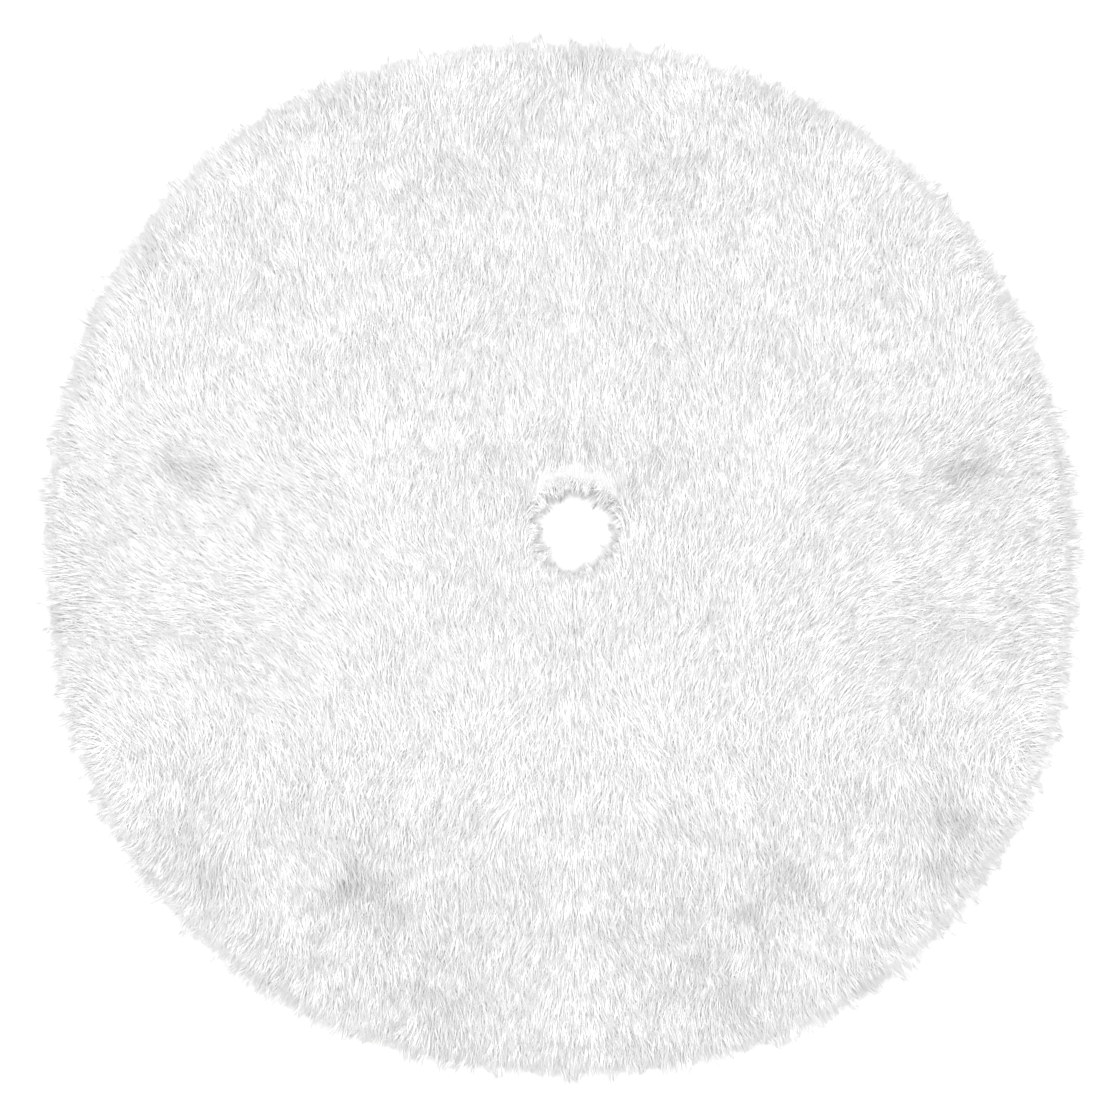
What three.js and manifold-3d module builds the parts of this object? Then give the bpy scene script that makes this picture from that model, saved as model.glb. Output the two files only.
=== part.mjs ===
// A round tree skirt of long-pile white faux fur: two half panels, each of pile, knitted ground
// cloth and lining, taped underneath, sewn to each other by a back seam and closed at the front
// slit by an underlap with hook-and-loop patches. Millimetres, +Z up, the floor at z = 0, the
// origin on the floor under the middle of the skirt, the slit running from the trunk hole to -Y.
import * as THREE from "three";
import { mergeVertices } from "three/addons/utils/BufferGeometryUtils.js";
import Module from "manifold-3d";

// Overall sizes, over the laid pile.
const SKIRT_WIDTH = 1206;
const EDGE_BULGE = 8.8; // how far the edge stands out on the diagonals, beside the axes
const EDGE_SKEW = 5.5; // how far one pair of diagonals is pulled out and the other in
const PILE_TOP = 20; // height of the laid pile above the floor

// The trunk hole, off the middle because the skirt is laid by hand round the trunk.
const HOLE_X = 17;
const HOLE_Y = 34;
const HOLE_RADIUS = 52; // to the folded edge of the tape

// How far the hair reaches past the sewn edges, and how its top rounds off there.
const HEM_OVERHANG = 12;
const HOLE_OVERHANG = 7;
const PILE_ROUND = 12;

// Thicknesses of the cloths.
const TAPE_THICK = 0.9;
const LINING_THICK = 0.8;
const GROUND_THICK = 1.5;
const GAP = 0.3; // between pieces that are sewn flat on each other

// Tapes.
const HEM_TAPE_WIDTH = 20;
const HOLE_TAPE_WIDTH = 16;
const SEAM_TAPE_WIDTH = 22;

// Hook-and-loop patches, in pairs along the underlap, one of each pair on the other.
const PATCH_PAIRS = 4;
const PATCH_WIDTH = 20;
const PATCH_LENGTH = 30;
const PATCH_INSET = 2; // from the slit to the patch
const PATCH_END_ROOM = 45; // from each end of the underlap to the nearest patch
const LOOP_THICK = 1.0;
const HOOK_THICK = 1.0;

// The underlap is sewn under the left half and passes under the right half past the patches.
const UNDERLAP_SEWN = 20;
const UNDERLAP_SPARE = 3;
const UNDERLAP_REACH = PATCH_INSET + PATCH_WIDTH + UNDERLAP_SPARE;
// The facing on the right half covers it, and the cloth beside it comes down to the floor level.
const FACING_SPARE = 2;
const FACING_WIDTH = UNDERLAP_REACH + FACING_SPARE;
const MARGIN_SLOPE = 16;

// Care label, caught in the edge of the seam tape.
const LABEL_WIDTH = 34;
const LABEL_LENGTH = 55;
const LABEL_THICK = 0.4;
const LABEL_LIFT = 0.3;
const LABEL_FROM_HOLE = 150;

// How finely the round edges are stepped.
const EDGE_STEPS = 96;
const HOLE_STEPS = 36;
const PILE_ROUND_STEPS = 3;

// Heights of the layers, each resting on the one below.
const LINING_LOW = TAPE_THICK + GAP;
const LINING_HIGH = LINING_LOW + LINING_THICK;
const GROUND_LOW = LINING_HIGH + GAP;
const GROUND_HIGH = GROUND_LOW + GROUND_THICK;
const PILE_LOW = GROUND_HIGH + GAP;
const LOOP_LOW = TAPE_THICK + GAP;
const HOOK_LOW = LOOP_LOW + LOOP_THICK + GAP;
// The right slit margin is carried this much higher, over the underlap and both patches.
const MARGIN_LIFT = HOOK_LOW + HOOK_THICK + GAP;

const PILE_RADIUS = SKIRT_WIDTH / 2 + EDGE_BULGE;
const FAR = SKIRT_WIDTH; // past every edge
const TALL = 4 * PILE_TOP; // taller than every layer

const wasm = await Module();
wasm.setup();

/** Makes a closed geometry a solid that can be joined and cut. */
function solidFrom(geometry) {
  const bare = new THREE.BufferGeometry();
  bare.setAttribute("position", geometry.getAttribute("position"));
  if (geometry.index) bare.setIndex(geometry.index);
  const merged = mergeVertices(bare, 1e-4);
  return new wasm.Manifold(
    new wasm.Mesh({
      numProp: 3,
      vertProperties: merged.attributes.position.array,
      triVerts: new Uint32Array(merged.index.array),
    }),
  );
}

/** Turns a joined or cut solid back into a geometry for a mesh. */
function geometryFrom(solid) {
  const mesh = solid.getMesh();
  const places = new Float32Array(mesh.numVert * 3);
  for (let i = 0; i < mesh.numVert; i++) {
    const start = i * mesh.numProp;
    places.set(mesh.vertProperties.subarray(start, start + 3), i * 3);
  }
  const geometry = new THREE.BufferGeometry();
  geometry.setAttribute("position", new THREE.BufferAttribute(places, 3));
  geometry.setIndex(new THREE.BufferAttribute(new Uint32Array(mesh.triVerts), 1));
  geometry.computeVertexNormals();
  return geometry;
}

/** The laid edge of the skirt, moved in by inset: a round pulled out a little on the diagonals. */
function edgePoints(inset) {
  const points = [];
  for (let i = 0; i < EDGE_STEPS; i++) {
    const a = (2 * Math.PI * i) / EDGE_STEPS;
    const pull = EDGE_BULGE * Math.cos(4 * a) + EDGE_SKEW * Math.sin(2 * a);
    const r = PILE_RADIUS - pull - inset;
    points.push(new THREE.Vector2(r * Math.cos(a), r * Math.sin(a)));
  }
  return points;
}

/** A circle round the trunk hole's centre. */
function holePoints(radius) {
  const points = [];
  for (let i = 0; i < HOLE_STEPS; i++) {
    const a = (2 * Math.PI * i) / HOLE_STEPS;
    points.push(new THREE.Vector2(HOLE_X + radius * Math.cos(a), HOLE_Y + radius * Math.sin(a)));
  }
  return points;
}

/** The plan of the whole skirt between its edge, moved in by inset, and a hole of this radius. */
function skirtPlan(inset, holeRadius) {
  const plan = new THREE.Shape(edgePoints(inset));
  plan.holes.push(new THREE.Path(holePoints(holeRadius)));
  return plan;
}

/** A plan drawn up through every layer. */
function columnOf(plan) {
  const geometry = new THREE.ExtrudeGeometry(plan, { depth: TALL, bevelEnabled: false });
  geometry.translate(0, 0, -TALL / 2);
  return solidFrom(geometry);
}

/** A box between two corners. */
function boxBetween([x0, y0, z0], [x1, y1, z1]) {
  const geometry = new THREE.BoxGeometry(x1 - x0, y1 - y0, z1 - z0);
  geometry.translate((x0 + x1) / 2, (y0 + y1) / 2, (z0 + z1) / 2);
  return solidFrom(geometry);
}

/** One flat layer of the left half, from the back seam and the slit outwards. */
function leftLayer(low, high) {
  return boxBetween([-FAR, -FAR, low], [HOLE_X - GAP / 2, FAR, high]);
}

/**
 * One layer of the right half. Behind the hole it is flat. In front, its margin at the slit is
 * lifted over the underlap and slopes down again. A layer with a level top is lifted only below.
 */
function rightLayer(low, high, levelTop = false) {
  const slit = HOLE_X + GAP / 2;
  const flatEnd = HOLE_X + FACING_WIDTH;
  const slopeEnd = flatEnd + MARGIN_SLOPE;
  const topLift = levelTop ? 0 : MARGIN_LIFT;
  const section = new THREE.Shape();
  section.moveTo(slit, low + MARGIN_LIFT);
  section.lineTo(flatEnd, low + MARGIN_LIFT);
  section.lineTo(slopeEnd, low);
  section.lineTo(FAR, low);
  section.lineTo(FAR, high);
  if (!levelTop) section.lineTo(slopeEnd, high);
  if (!levelTop) section.lineTo(flatEnd, high + topLift);
  section.lineTo(slit, high + topLift);
  const front = new THREE.ExtrudeGeometry(section, { depth: FAR, bevelEnabled: false });
  front.rotateX(Math.PI / 2);
  front.translate(0, HOLE_Y, 0);
  const back = boxBetween([slit, HOLE_Y, low], [FAR, FAR, high]);
  return solidFrom(front).add(back);
}

const LAYER_OF = { left: leftLayer, right: rightLayer };

/** The pile: rounded off at the hem and at the hole, flat where the two halves meet. */
function pileGeometry(side) {
  const whole = new THREE.ExtrudeGeometry(skirtPlan(0, HOLE_RADIUS - HOLE_OVERHANG), {
    depth: PILE_TOP,
    bevelEnabled: true,
    bevelThickness: PILE_ROUND,
    bevelSize: PILE_ROUND,
    bevelOffset: -PILE_ROUND,
    bevelSegments: PILE_ROUND_STEPS,
  });
  whole.translate(0, 0, -PILE_ROUND);
  return geometryFrom(solidFrom(whole).intersect(LAYER_OF[side](PILE_LOW, PILE_TOP, true)));
}

/** A cloth layer that fills its half inside the edge tapes. */
function clothGeometry(side, low, high) {
  const inTape = TAPE_THICK + GAP;
  const plan = skirtPlan(HEM_OVERHANG + inTape, HOLE_RADIUS + inTape);
  return geometryFrom(columnOf(plan).intersect(LAYER_OF[side](low, high)));
}

/** A tape that lies under one edge and turns up over the cut ends of the lining and the cloth. */
function edgeTapeGeometry(side, underPlan, turnedPlan) {
  const under = columnOf(underPlan).intersect(LAYER_OF[side](0, TAPE_THICK));
  const turned = columnOf(turnedPlan).intersect(LAYER_OF[side](0, GROUND_HIGH));
  return geometryFrom(under.add(turned));
}

/** The hem's tape on one half. */
function hemTapeGeometry(side) {
  const ring = (width) => {
    const plan = new THREE.Shape(edgePoints(HEM_OVERHANG));
    plan.holes.push(new THREE.Path(edgePoints(HEM_OVERHANG + width)));
    return plan;
  };
  return edgeTapeGeometry(side, ring(HEM_TAPE_WIDTH), ring(TAPE_THICK));
}

/** The trunk hole's tape on one half. */
function holeTapeGeometry(side) {
  const ring = (width) => {
    const plan = new THREE.Shape(holePoints(HOLE_RADIUS + width));
    plan.holes.push(new THREE.Path(holePoints(HOLE_RADIUS)));
    return plan;
  };
  return edgeTapeGeometry(side, ring(HOLE_TAPE_WIDTH), ring(TAPE_THICK));
}

/** A straight strip between the hem's tape and the hole's tape, from x0 to x1, low to high. */
function stripGeometry([x0, x1], [y0, y1], low, high) {
  const plan = skirtPlan(
    HEM_OVERHANG + HEM_TAPE_WIDTH + GAP,
    HOLE_RADIUS + HOLE_TAPE_WIDTH + GAP,
  );
  const strip = boxBetween([x0, y0, low], [x1, y1, high]);
  return geometryFrom(columnOf(plan).intersect(strip));
}

/** A flat rectangle with its corner at x0, y0. */
function patchGeometry(x0, y0, width, length, low, thick) {
  const geometry = new THREE.BoxGeometry(width, length, thick);
  geometry.translate(x0 + width / 2, y0 + length / 2, low + thick / 2);
  return geometry;
}

const finish = (color, roughness) => () =>
  new THREE.MeshStandardMaterial({ color, roughness, metalness: 0 });
const furPile = finish(0xf2f1ef, 0.9);
const knitCloth = finish(0xe9e8e4, 0.95);
const liningCloth = finish(0xeceae6, 0.85);
const cottonTape = finish(0xe6e3dc, 0.9);
const loopPile = finish(0xe4e3df, 0.95);
const hookStrip = finish(0xdddcd8, 0.6);
const satinLabel = finish(0xf4f4f2, 0.45);

/** A named piece in its own finish. */
function piece(name, geometry, material) {
  const mesh = new THREE.Mesh(geometry, material());
  mesh.name = name;
  return mesh;
}

// Where the underlap starts and ends along Y, between the tapes of the hem and of the hole.
const slitFront = -SKIRT_WIDTH / 2 + HEM_OVERHANG + HEM_TAPE_WIDTH;
const slitBack = HOLE_Y - HOLE_RADIUS - HOLE_TAPE_WIDTH;

/** The front ends of the patches, spread evenly along the underlap. */
function patchStarts() {
  const first = slitFront + PATCH_END_ROOM;
  const last = slitBack - PATCH_END_ROOM - PATCH_LENGTH;
  const starts = [];
  for (let i = 0; i < PATCH_PAIRS; i++) {
    starts.push(last + ((first - last) * i) / (PATCH_PAIRS - 1));
  }
  return starts;
}

/** The four layers that both halves have. */
function halfPanel(side) {
  const half = new THREE.Group();
  half.add(
    piece(`${side}_fur_pile`, pileGeometry(side), furPile),
    piece(`${side}_ground_cloth`, clothGeometry(side, GROUND_LOW, GROUND_HIGH), knitCloth),
    piece(`${side}_lining`, clothGeometry(side, LINING_LOW, LINING_HIGH), liningCloth),
    piece(`${side}_hem_tape`, hemTapeGeometry(side), cottonTape),
    piece(`${side}_hole_tape`, holeTapeGeometry(side), cottonTape),
  );
  return half;
}

/** The left half, with the seam tape, the label and the underlap with its loop patches. */
function leftHalf() {
  const half = halfPanel("left");
  const seam = HOLE_X - GAP / 2;
  const tapeSpan = [seam - SEAM_TAPE_WIDTH, seam];
  const seamTape = stripGeometry(tapeSpan, [HOLE_Y, FAR], 0, TAPE_THICK);
  const lapSpan = [HOLE_X - UNDERLAP_SEWN, HOLE_X + UNDERLAP_REACH];
  const underlap = stripGeometry(lapSpan, [-FAR, HOLE_Y], 0, TAPE_THICK);
  const labelX = tapeSpan[0] - GAP - LABEL_WIDTH;
  const labelY = HOLE_Y + HOLE_RADIUS + LABEL_FROM_HOLE;
  const label = patchGeometry(labelX, labelY, LABEL_WIDTH, LABEL_LENGTH, LABEL_LIFT, LABEL_THICK);
  half.add(
    piece("back_seam_tape", seamTape, cottonTape),
    piece("slit_underlap", underlap, liningCloth),
    piece("care_label", label, satinLabel),
  );
  patchStarts().forEach((y, i) => {
    const x = HOLE_X + PATCH_INSET;
    const loop = patchGeometry(x, y, PATCH_WIDTH, PATCH_LENGTH, LOOP_LOW, LOOP_THICK);
    half.add(piece(`loop_patch_${i + 1}`, loop, loopPile));
  });
  return half;
}

/** The right half, with the facing of its slit margin and the hook patches under it. */
function rightHalf() {
  const half = halfPanel("right");
  const facingSpan = [HOLE_X + GAP / 2, HOLE_X + FACING_WIDTH];
  const low = MARGIN_LIFT;
  const facing = stripGeometry(facingSpan, [-FAR, HOLE_Y], low, low + TAPE_THICK);
  half.add(piece("slit_facing", facing, cottonTape));
  patchStarts().forEach((y, i) => {
    const x = HOLE_X + PATCH_INSET;
    const hook = patchGeometry(x, y, PATCH_WIDTH, PATCH_LENGTH, HOOK_LOW, HOOK_THICK);
    half.add(piece(`hook_patch_${i + 1}`, hook, hookStrip));
  });
  return half;
}

const treeSkirt = new THREE.Group();
treeSkirt.add(leftHalf(), rightHalf());

export default treeSkirt;
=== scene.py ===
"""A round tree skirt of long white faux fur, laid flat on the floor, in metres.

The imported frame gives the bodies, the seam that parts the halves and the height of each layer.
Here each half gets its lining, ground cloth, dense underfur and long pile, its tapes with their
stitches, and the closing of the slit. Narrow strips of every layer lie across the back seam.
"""

import logging
import math
from dataclasses import dataclass, field
from enum import Enum

import bpy
import bmesh
import numpy as np
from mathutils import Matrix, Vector


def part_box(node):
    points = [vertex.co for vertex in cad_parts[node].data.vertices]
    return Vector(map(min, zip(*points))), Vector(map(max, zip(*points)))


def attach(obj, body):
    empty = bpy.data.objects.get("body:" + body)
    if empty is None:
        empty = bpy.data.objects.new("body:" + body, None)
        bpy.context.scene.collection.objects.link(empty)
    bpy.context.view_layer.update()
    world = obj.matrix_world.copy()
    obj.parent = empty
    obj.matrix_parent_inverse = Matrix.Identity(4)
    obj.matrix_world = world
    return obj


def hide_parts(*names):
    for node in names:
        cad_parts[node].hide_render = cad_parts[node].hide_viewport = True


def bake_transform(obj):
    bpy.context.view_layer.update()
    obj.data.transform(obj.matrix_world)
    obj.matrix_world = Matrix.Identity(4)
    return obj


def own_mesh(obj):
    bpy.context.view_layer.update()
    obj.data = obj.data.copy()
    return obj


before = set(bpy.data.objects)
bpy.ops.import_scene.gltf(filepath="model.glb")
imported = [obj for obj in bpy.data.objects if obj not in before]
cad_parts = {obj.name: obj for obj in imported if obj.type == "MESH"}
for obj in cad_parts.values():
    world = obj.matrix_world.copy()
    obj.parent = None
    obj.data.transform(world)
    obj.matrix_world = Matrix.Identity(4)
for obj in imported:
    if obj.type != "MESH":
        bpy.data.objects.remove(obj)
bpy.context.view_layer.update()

log = logging.getLogger("tree_skirt")

MM = 0.001
BAKE_MAP = "OFBake"  # the map whose u is a hair's tone and whose v runs from its root to its tip
HEM_INSET = 12 * MM  # from the laid edge of the pile to the folded hem
Array = np.ndarray
Socket = bpy.types.NodeSocket
Object = bpy.types.Object
Pieces = dict[str, Object]  # by name


class Side(Enum):
    """The two halves of the skirt, each with the sign of its X."""

    LEFT = -1
    RIGHT = 1

    @property
    def sign(self) -> int:
        """The sign of X on this half's side of the seam."""
        return self.value

    @property
    def body(self) -> str:
        """The CAD body that this half rides on."""
        return f"{self.name.lower()}_half"

    def named(self, piece: str) -> str:
        """The name of a piece of this half.

        Args:
            piece: what the piece is, such as lining.

        Returns:
            The name with the side in front.
        """
        return f"{self.name.lower()}_{piece}"


# ===== Small tools =====


def colour(code: str) -> tuple[float, float, float, float]:
    """Turns an sRGB hex colour to linear light.

    Args:
        code: six hex digits after a hash.

    Returns:
        Red, green, blue and an alpha of 1.
    """
    parts = [int(code[i : i + 2], 16) / 255 for i in (1, 3, 5)]
    linear = [p / 12.92 if p <= 0.04045 else ((p + 0.055) / 1.055) ** 2.4 for p in parts]
    return linear[0], linear[1], linear[2], 1.0


def ease(t: Array) -> Array:
    """Runs smoothly from 0 to 1 as t does, and stays flat outside.

    Args:
        t: the places along the change.

    Returns:
        The eased values.
    """
    held = np.clip(t, 0.0, 1.0)
    return held * held * (3 - 2 * held)


def turned(turn: Array, target: Array | float, share: Array, pick: Array) -> Array:
    """Turns directions towards others, by sweeping round or, if they are opposed, by a choice.

    Args:
        turn: the angles now.
        target: the angles to turn to.
        share: how far each is turned, from 0 to 1.
        pick: each hair's own number from 0 to 1: an opposed hair turns where the share is above it.

    Returns:
        The new angles.
    """
    apart = (target - turn + math.pi) % math.tau - math.pi
    opposed = np.abs(apart) > math.radians(100)
    chosen = (share > 0.1 + 0.8 * pick).astype(float)
    return turn + apart * np.where(opposed, chosen, share)


def add_node(
    tree: bpy.types.NodeTree, kind: str, inputs: dict | None = None, **settings: object
) -> bpy.types.Node:
    """Adds a node with its settings, values and links.

    Args:
        tree: the tree that gets the node.
        kind: the node's type.
        inputs: by name or place, the socket that feeds an input or the value it holds.
        settings: the node's own settings.

    Returns:
        The new node.
    """
    made = tree.nodes.new(kind)
    for name, value in settings.items():
        setattr(made, name, value)
    for key, value in (inputs or {}).items():
        if isinstance(value, Socket):
            tree.links.new(value, made.inputs[key])
        else:
            made.inputs[key].default_value = value
    return made


def evaluated(piece: Object, name: str) -> Object:
    """Makes a plain mesh object of a piece as its modifiers leave it, and removes the piece.

    Args:
        piece: the object with modifiers.
        name: the new object's name.

    Returns:
        The plain object.
    """
    bpy.context.view_layer.update()
    graph = bpy.context.evaluated_depsgraph_get()
    mesh = bpy.data.meshes.new_from_object(piece.evaluated_get(graph), depsgraph=graph)
    old = piece.data
    bpy.data.objects.remove(piece)
    if old.users == 0:
        bpy.data.meshes.remove(old)
    mesh.name = name
    made = bpy.data.objects.new(name, mesh)
    bpy.context.scene.collection.objects.link(made)
    return made


def object_from(name: str, points: Array, faces: list[tuple[int, ...]]) -> Object:
    """Makes a mesh object from points and faces.

    Args:
        name: the object's name.
        points: one row of X, Y, Z for each point.
        faces: the point numbers of each face.

    Returns:
        The object, at the origin.
    """
    mesh = bpy.data.meshes.new(name)
    mesh.from_pydata(points.tolist(), [], faces)
    mesh.update()
    made = bpy.data.objects.new(name, mesh)
    bpy.context.scene.collection.objects.link(made)
    return made


def face_outwards(piece: Object) -> None:
    """Turns a closed mesh's faces outwards.

    Args:
        piece: the object whose mesh is turned.
    """
    work = bmesh.new()
    work.from_mesh(piece.data)
    bmesh.ops.recalc_face_normals(work, faces=work.faces)
    work.to_mesh(piece.data)
    work.free()


def shell(name: str, top: Array, bottom: Array) -> Object:
    """Closes two grids of points, one above the other, into a thin solid.

    Args:
        name: the object's name.
        top: the upper surface, as rows by columns by X, Y, Z.
        bottom: the lower surface, laid out in the same way.

    Returns:
        The closed object, shaded smooth on its surfaces.
    """
    rows, columns = top.shape[:2]
    at = np.arange(rows * columns).reshape(rows, columns)
    low = at + rows * columns
    faces = []
    for i in range(rows - 1):
        for j in range(columns - 1):
            square = [(i, j), (i, j + 1), (i + 1, j + 1), (i + 1, j)]
            faces.append(tuple(int(at[k]) for k in square))
            faces.append(tuple(int(low[k]) for k in reversed(square)))
    border = [(0, j) for j in range(columns)] + [(i, columns - 1) for i in range(1, rows)]
    border += [(rows - 1, j) for j in range(columns - 2, -1, -1)]
    border += [(i, 0) for i in range(rows - 2, 0, -1)]
    for here, there in zip(border, border[1:] + border[:1]):
        faces.append((int(at[here]), int(low[here]), int(low[there]), int(at[there])))
    points = np.concatenate([top.reshape(-1, 3), bottom.reshape(-1, 3)])
    made = object_from(name, points, faces)
    face_outwards(made)
    return made


def tube(name: str, rings: Array) -> Object:
    """Joins closed outlines, one after another, into a solid with both ends closed.

    Args:
        name: the object's name.
        rings: the outlines, as outlines by their points by X, Y, Z.

    Returns:
        The closed object.
    """
    count, around = rings.shape[:2]
    at = np.arange(count * around).reshape(count, around)
    faces = [tuple(int(k) for k in at[0]), tuple(int(k) for k in at[-1])]
    for here, there in zip(at[:-1], at[1:]):
        for j in range(around):
            nxt = (j + 1) % around
            faces.append((int(here[j]), int(here[nxt]), int(there[nxt]), int(there[j])))
    made = object_from(name, rings.reshape(-1, 3), faces)
    face_outwards(made)
    return made


def slab(
    name: str, x: Array, y: Array, low: float, high: float, ripple: float = 0.1 * MM
) -> Object:
    """Builds a flat piece of tape or cloth with soft edges, over a grid of the plan.

    Args:
        name: the object's name.
        x: the grid's X, as rows by columns.
        y: the grid's Y, laid out in the same way.
        low: the underside's height.
        high: the top's height.
        ripple: how far the cloth rises and falls.

    Returns:
        The closed object.
    """
    beside = np.minimum(x - x.min(1, keepdims=True), x.max(1, keepdims=True) - x)
    beyond = np.minimum(y - y.min(0, keepdims=True), y.max(0, keepdims=True) - y)
    half = (high - low - ripple) / 2
    share = np.clip(np.minimum(beside, beyond) / half, 0, 1)
    thick = half * (0.15 + 0.85 * np.sqrt(1 - (1 - share) ** 2))
    middle = low + half + ripple * (1 + Hills(18 * MM, 61).at(x, y)) / 2
    return shell(name, np.stack([x, y, middle + thick], 2), np.stack([x, y, middle - thick], 2))


def spread(count: int) -> Array:
    """Places from 0 to 1 that stand closer together at both ends."""
    return 0.5 - 0.5 * np.cos(np.linspace(0, math.pi, count))


# ===== The plan, and the random patterns of the pile =====


@dataclass(frozen=True)
class Plan:
    """The laid skirt seen from above: its edge, its trunk hole and the seam between its halves."""

    seam: float
    hole_y: float
    hole_radius: float
    half_width: float
    lift: float  # of the right half's margin, which is carried over the underlap
    flat: float  # width of the margin before it slopes down
    bulge: float = 8.8 * MM  # how far the edge stands out on the diagonals, beside the axes
    skew: float = 5.5 * MM  # how far one pair of diagonals is pulled out and the other in
    gap: float = 0.15 * MM  # from the seam to each half's edge
    slope: float = 16 * MM  # over which the margin comes down to the floor
    strip: float = 10.5 * MM  # half the width of the strip across the back seam

    @classmethod
    def from_frame(cls, hole_tape_width: float = 16 * MM) -> "Plan":
        """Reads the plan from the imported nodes.

        Args:
            hole_tape_width: the width of the tape round the hole.

        Returns:
            The plan.
        """
        left_low, left_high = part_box("left_fur_pile")
        right_low, right_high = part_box("right_fur_pile")
        tape_low, tape_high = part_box("left_hole_tape")
        facing_low, facing_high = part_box("slit_facing")
        seam = (left_high.x + right_low.x) / 2
        return cls(
            seam=seam,
            hole_y=(tape_low.y + tape_high.y) / 2,
            hole_radius=(tape_high.y - tape_low.y) / 2 - hole_tape_width,
            half_width=(right_high.x - left_low.x) / 2,
            lift=facing_low.z,
            flat=facing_high.x - seam,
        )

    def edge(self, angle: Array, inset: float = 0.0) -> Array:
        """The distance of the laid edge from the middle.

        Args:
            angle: the directions from the middle, from +X.
            inset: how far inside the edge.

        Returns:
            The distances.
        """
        pull = self.bulge * np.cos(4 * angle) + self.skew * np.sin(2 * angle)
        return self.half_width + self.bulge - pull - inset

    def to_rim(self, x: Array, y: Array) -> Array:
        """How far points are inside the laid edge."""
        return self.edge(np.arctan2(y, x)) - np.hypot(x, y)

    def to_hole(self, x: Array, y: Array) -> Array:
        """How far points are outside the sewn edge of the trunk hole."""
        return np.hypot(x - self.seam, y - self.hole_y) - self.hole_radius

    def edge_point(self, side: Side, turn: Array, inset: float) -> tuple[Array, Array]:
        """Points of one half's edge.

        Args:
            side: the half.
            turn: the directions from its own side of the middle, from -90 to 90 degrees.
            inset: how far inside the edge.

        Returns:
            X and Y.
        """
        angle = turn if side is Side.RIGHT else math.pi - turn
        reach = self.edge(angle, inset)
        return reach * np.cos(angle), reach * np.sin(angle)

    def edge_near_seam(self, x: Array, inset: float, back: bool) -> Array:
        """The laid edge behind or in front of points near the seam.

        Args:
            x: the points' X.
            inset: how far inside the edge.
            back: whether it is the edge behind them.

        Returns:
            The edge's Y at each point.
        """
        middle = math.pi / 2 if back else -math.pi / 2
        turns = np.linspace(middle - 0.12, middle + 0.12, 400)
        reach = self.edge(turns, inset)
        order = slice(None, None, -1 if back else 1)
        return np.interp(x, (reach * np.cos(turns))[order], (reach * np.sin(turns))[order])

    def hole_near_seam(self, x: Array, away: float) -> Array:
        """How far a ring round the hole is behind, or in front of, its middle.

        Args:
            x: the places' X, near the seam.
            away: how far the ring is from the hole's edge.

        Returns:
            The distances along Y.
        """
        return np.sqrt((self.hole_radius + away) ** 2 - (x - self.seam) ** 2)

    def across_seam(self) -> Array:
        """Places from one side of the bending strip over the back seam to the other."""
        return self.seam + np.linspace(-self.strip, self.strip, 13)

    def rise(self, side: Side, x: Array, y: Array) -> Array:
        """How high the right half's margin at the slit is lifted at each point.

        Args:
            side: the half.
            x: the points' X.
            y: the points' Y.

        Returns:
            The heights.
        """
        if side is Side.LEFT:
            return np.zeros_like(x)
        down = 1 - (x - self.seam - self.flat) / self.slope
        return np.where(y < self.hole_y, self.lift * np.clip(down, 0, 1), 0.0)

    def last_turn(self, side: Side, inset: float, offset: float, back: bool) -> float:
        """The direction in which one half's edge comes to a line beside the seam.

        Args:
            side: the half.
            inset: how far inside the edge.
            offset: how far from the seam the line is, on the half's side.
            back: whether it is the crossing behind the hole.

        Returns:
            The turn, in radians.
        """
        outer, inner = 0.0, math.pi / 2 + 0.2
        for _ in range(50):
            middle = (outer + inner) / 2
            x, _ = self.edge_point(side, np.array(middle if back else -middle), inset)
            if (float(x) - self.seam) * side.sign > offset:
                outer = middle
            else:
                inner = middle
        return outer if back else -outer


@dataclass(frozen=True)
class Hills:
    """Smooth random highs and lows of one size."""

    size: float
    seed: int

    def at(self, x: Array, y: Array) -> Array:
        """The height at each point, from -1 to 1.

        Args:
            x: the points' X.
            y: the points' Y.

        Returns:
            The heights.
        """
        span = 128
        table = np.random.default_rng(self.seed).uniform(-1, 1, (span, span))
        u, v = x / self.size + span / 2, y / self.size + span / 2
        i, j = np.floor(u).astype(int), np.floor(v).astype(int)
        s, t = ease(u - i), ease(v - j)
        near = table[i % span, j % span] * (1 - s) + table[(i + 1) % span, j % span] * s
        far = table[i % span, (j + 1) % span] * (1 - s) + table[(i + 1) % span, (j + 1) % span] * s
        return near * (1 - t) + far * t


@dataclass(frozen=True)
class Locks:
    """A scatter of locks of hair: each point belongs to the nearest one."""

    size: float
    seed: int

    def at(self, x: Array, y: Array) -> tuple[Array, Array, Array]:
        """The lock that each point belongs to.

        Args:
            x: the points' X.
            y: the points' Y.

        Returns:
            X and Y of the lock's middle, and four random numbers of the lock for each point.
        """
        span = 256
        table = np.random.default_rng(self.seed).random((span, span, 6))
        u, v = x / self.size + span / 2, y / self.size + span / 2
        i, j = np.floor(u).astype(int), np.floor(v).astype(int)
        best = np.full(x.shape, np.inf)
        middle_u, middle_v = np.zeros_like(x), np.zeros_like(x)
        own = np.zeros(x.shape + (4,))
        for di in (-1, 0, 1):
            for dj in (-1, 0, 1):
                cell = table[(i + di) % span, (j + dj) % span]
                cu, cv = i + di + cell[..., 0], j + dj + cell[..., 1]
                away = (cu - u) ** 2 + (cv - v) ** 2
                nearer = away < best
                best = np.where(nearer, away, best)
                middle_u, middle_v = np.where(nearer, cu, middle_u), np.where(nearer, cv, middle_v)
                own[nearer] = cell[nearer][:, 2:]
        return (middle_u - span / 2) * self.size, (middle_v - span / 2) * self.size, own


# ===== Finishes =====


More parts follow.
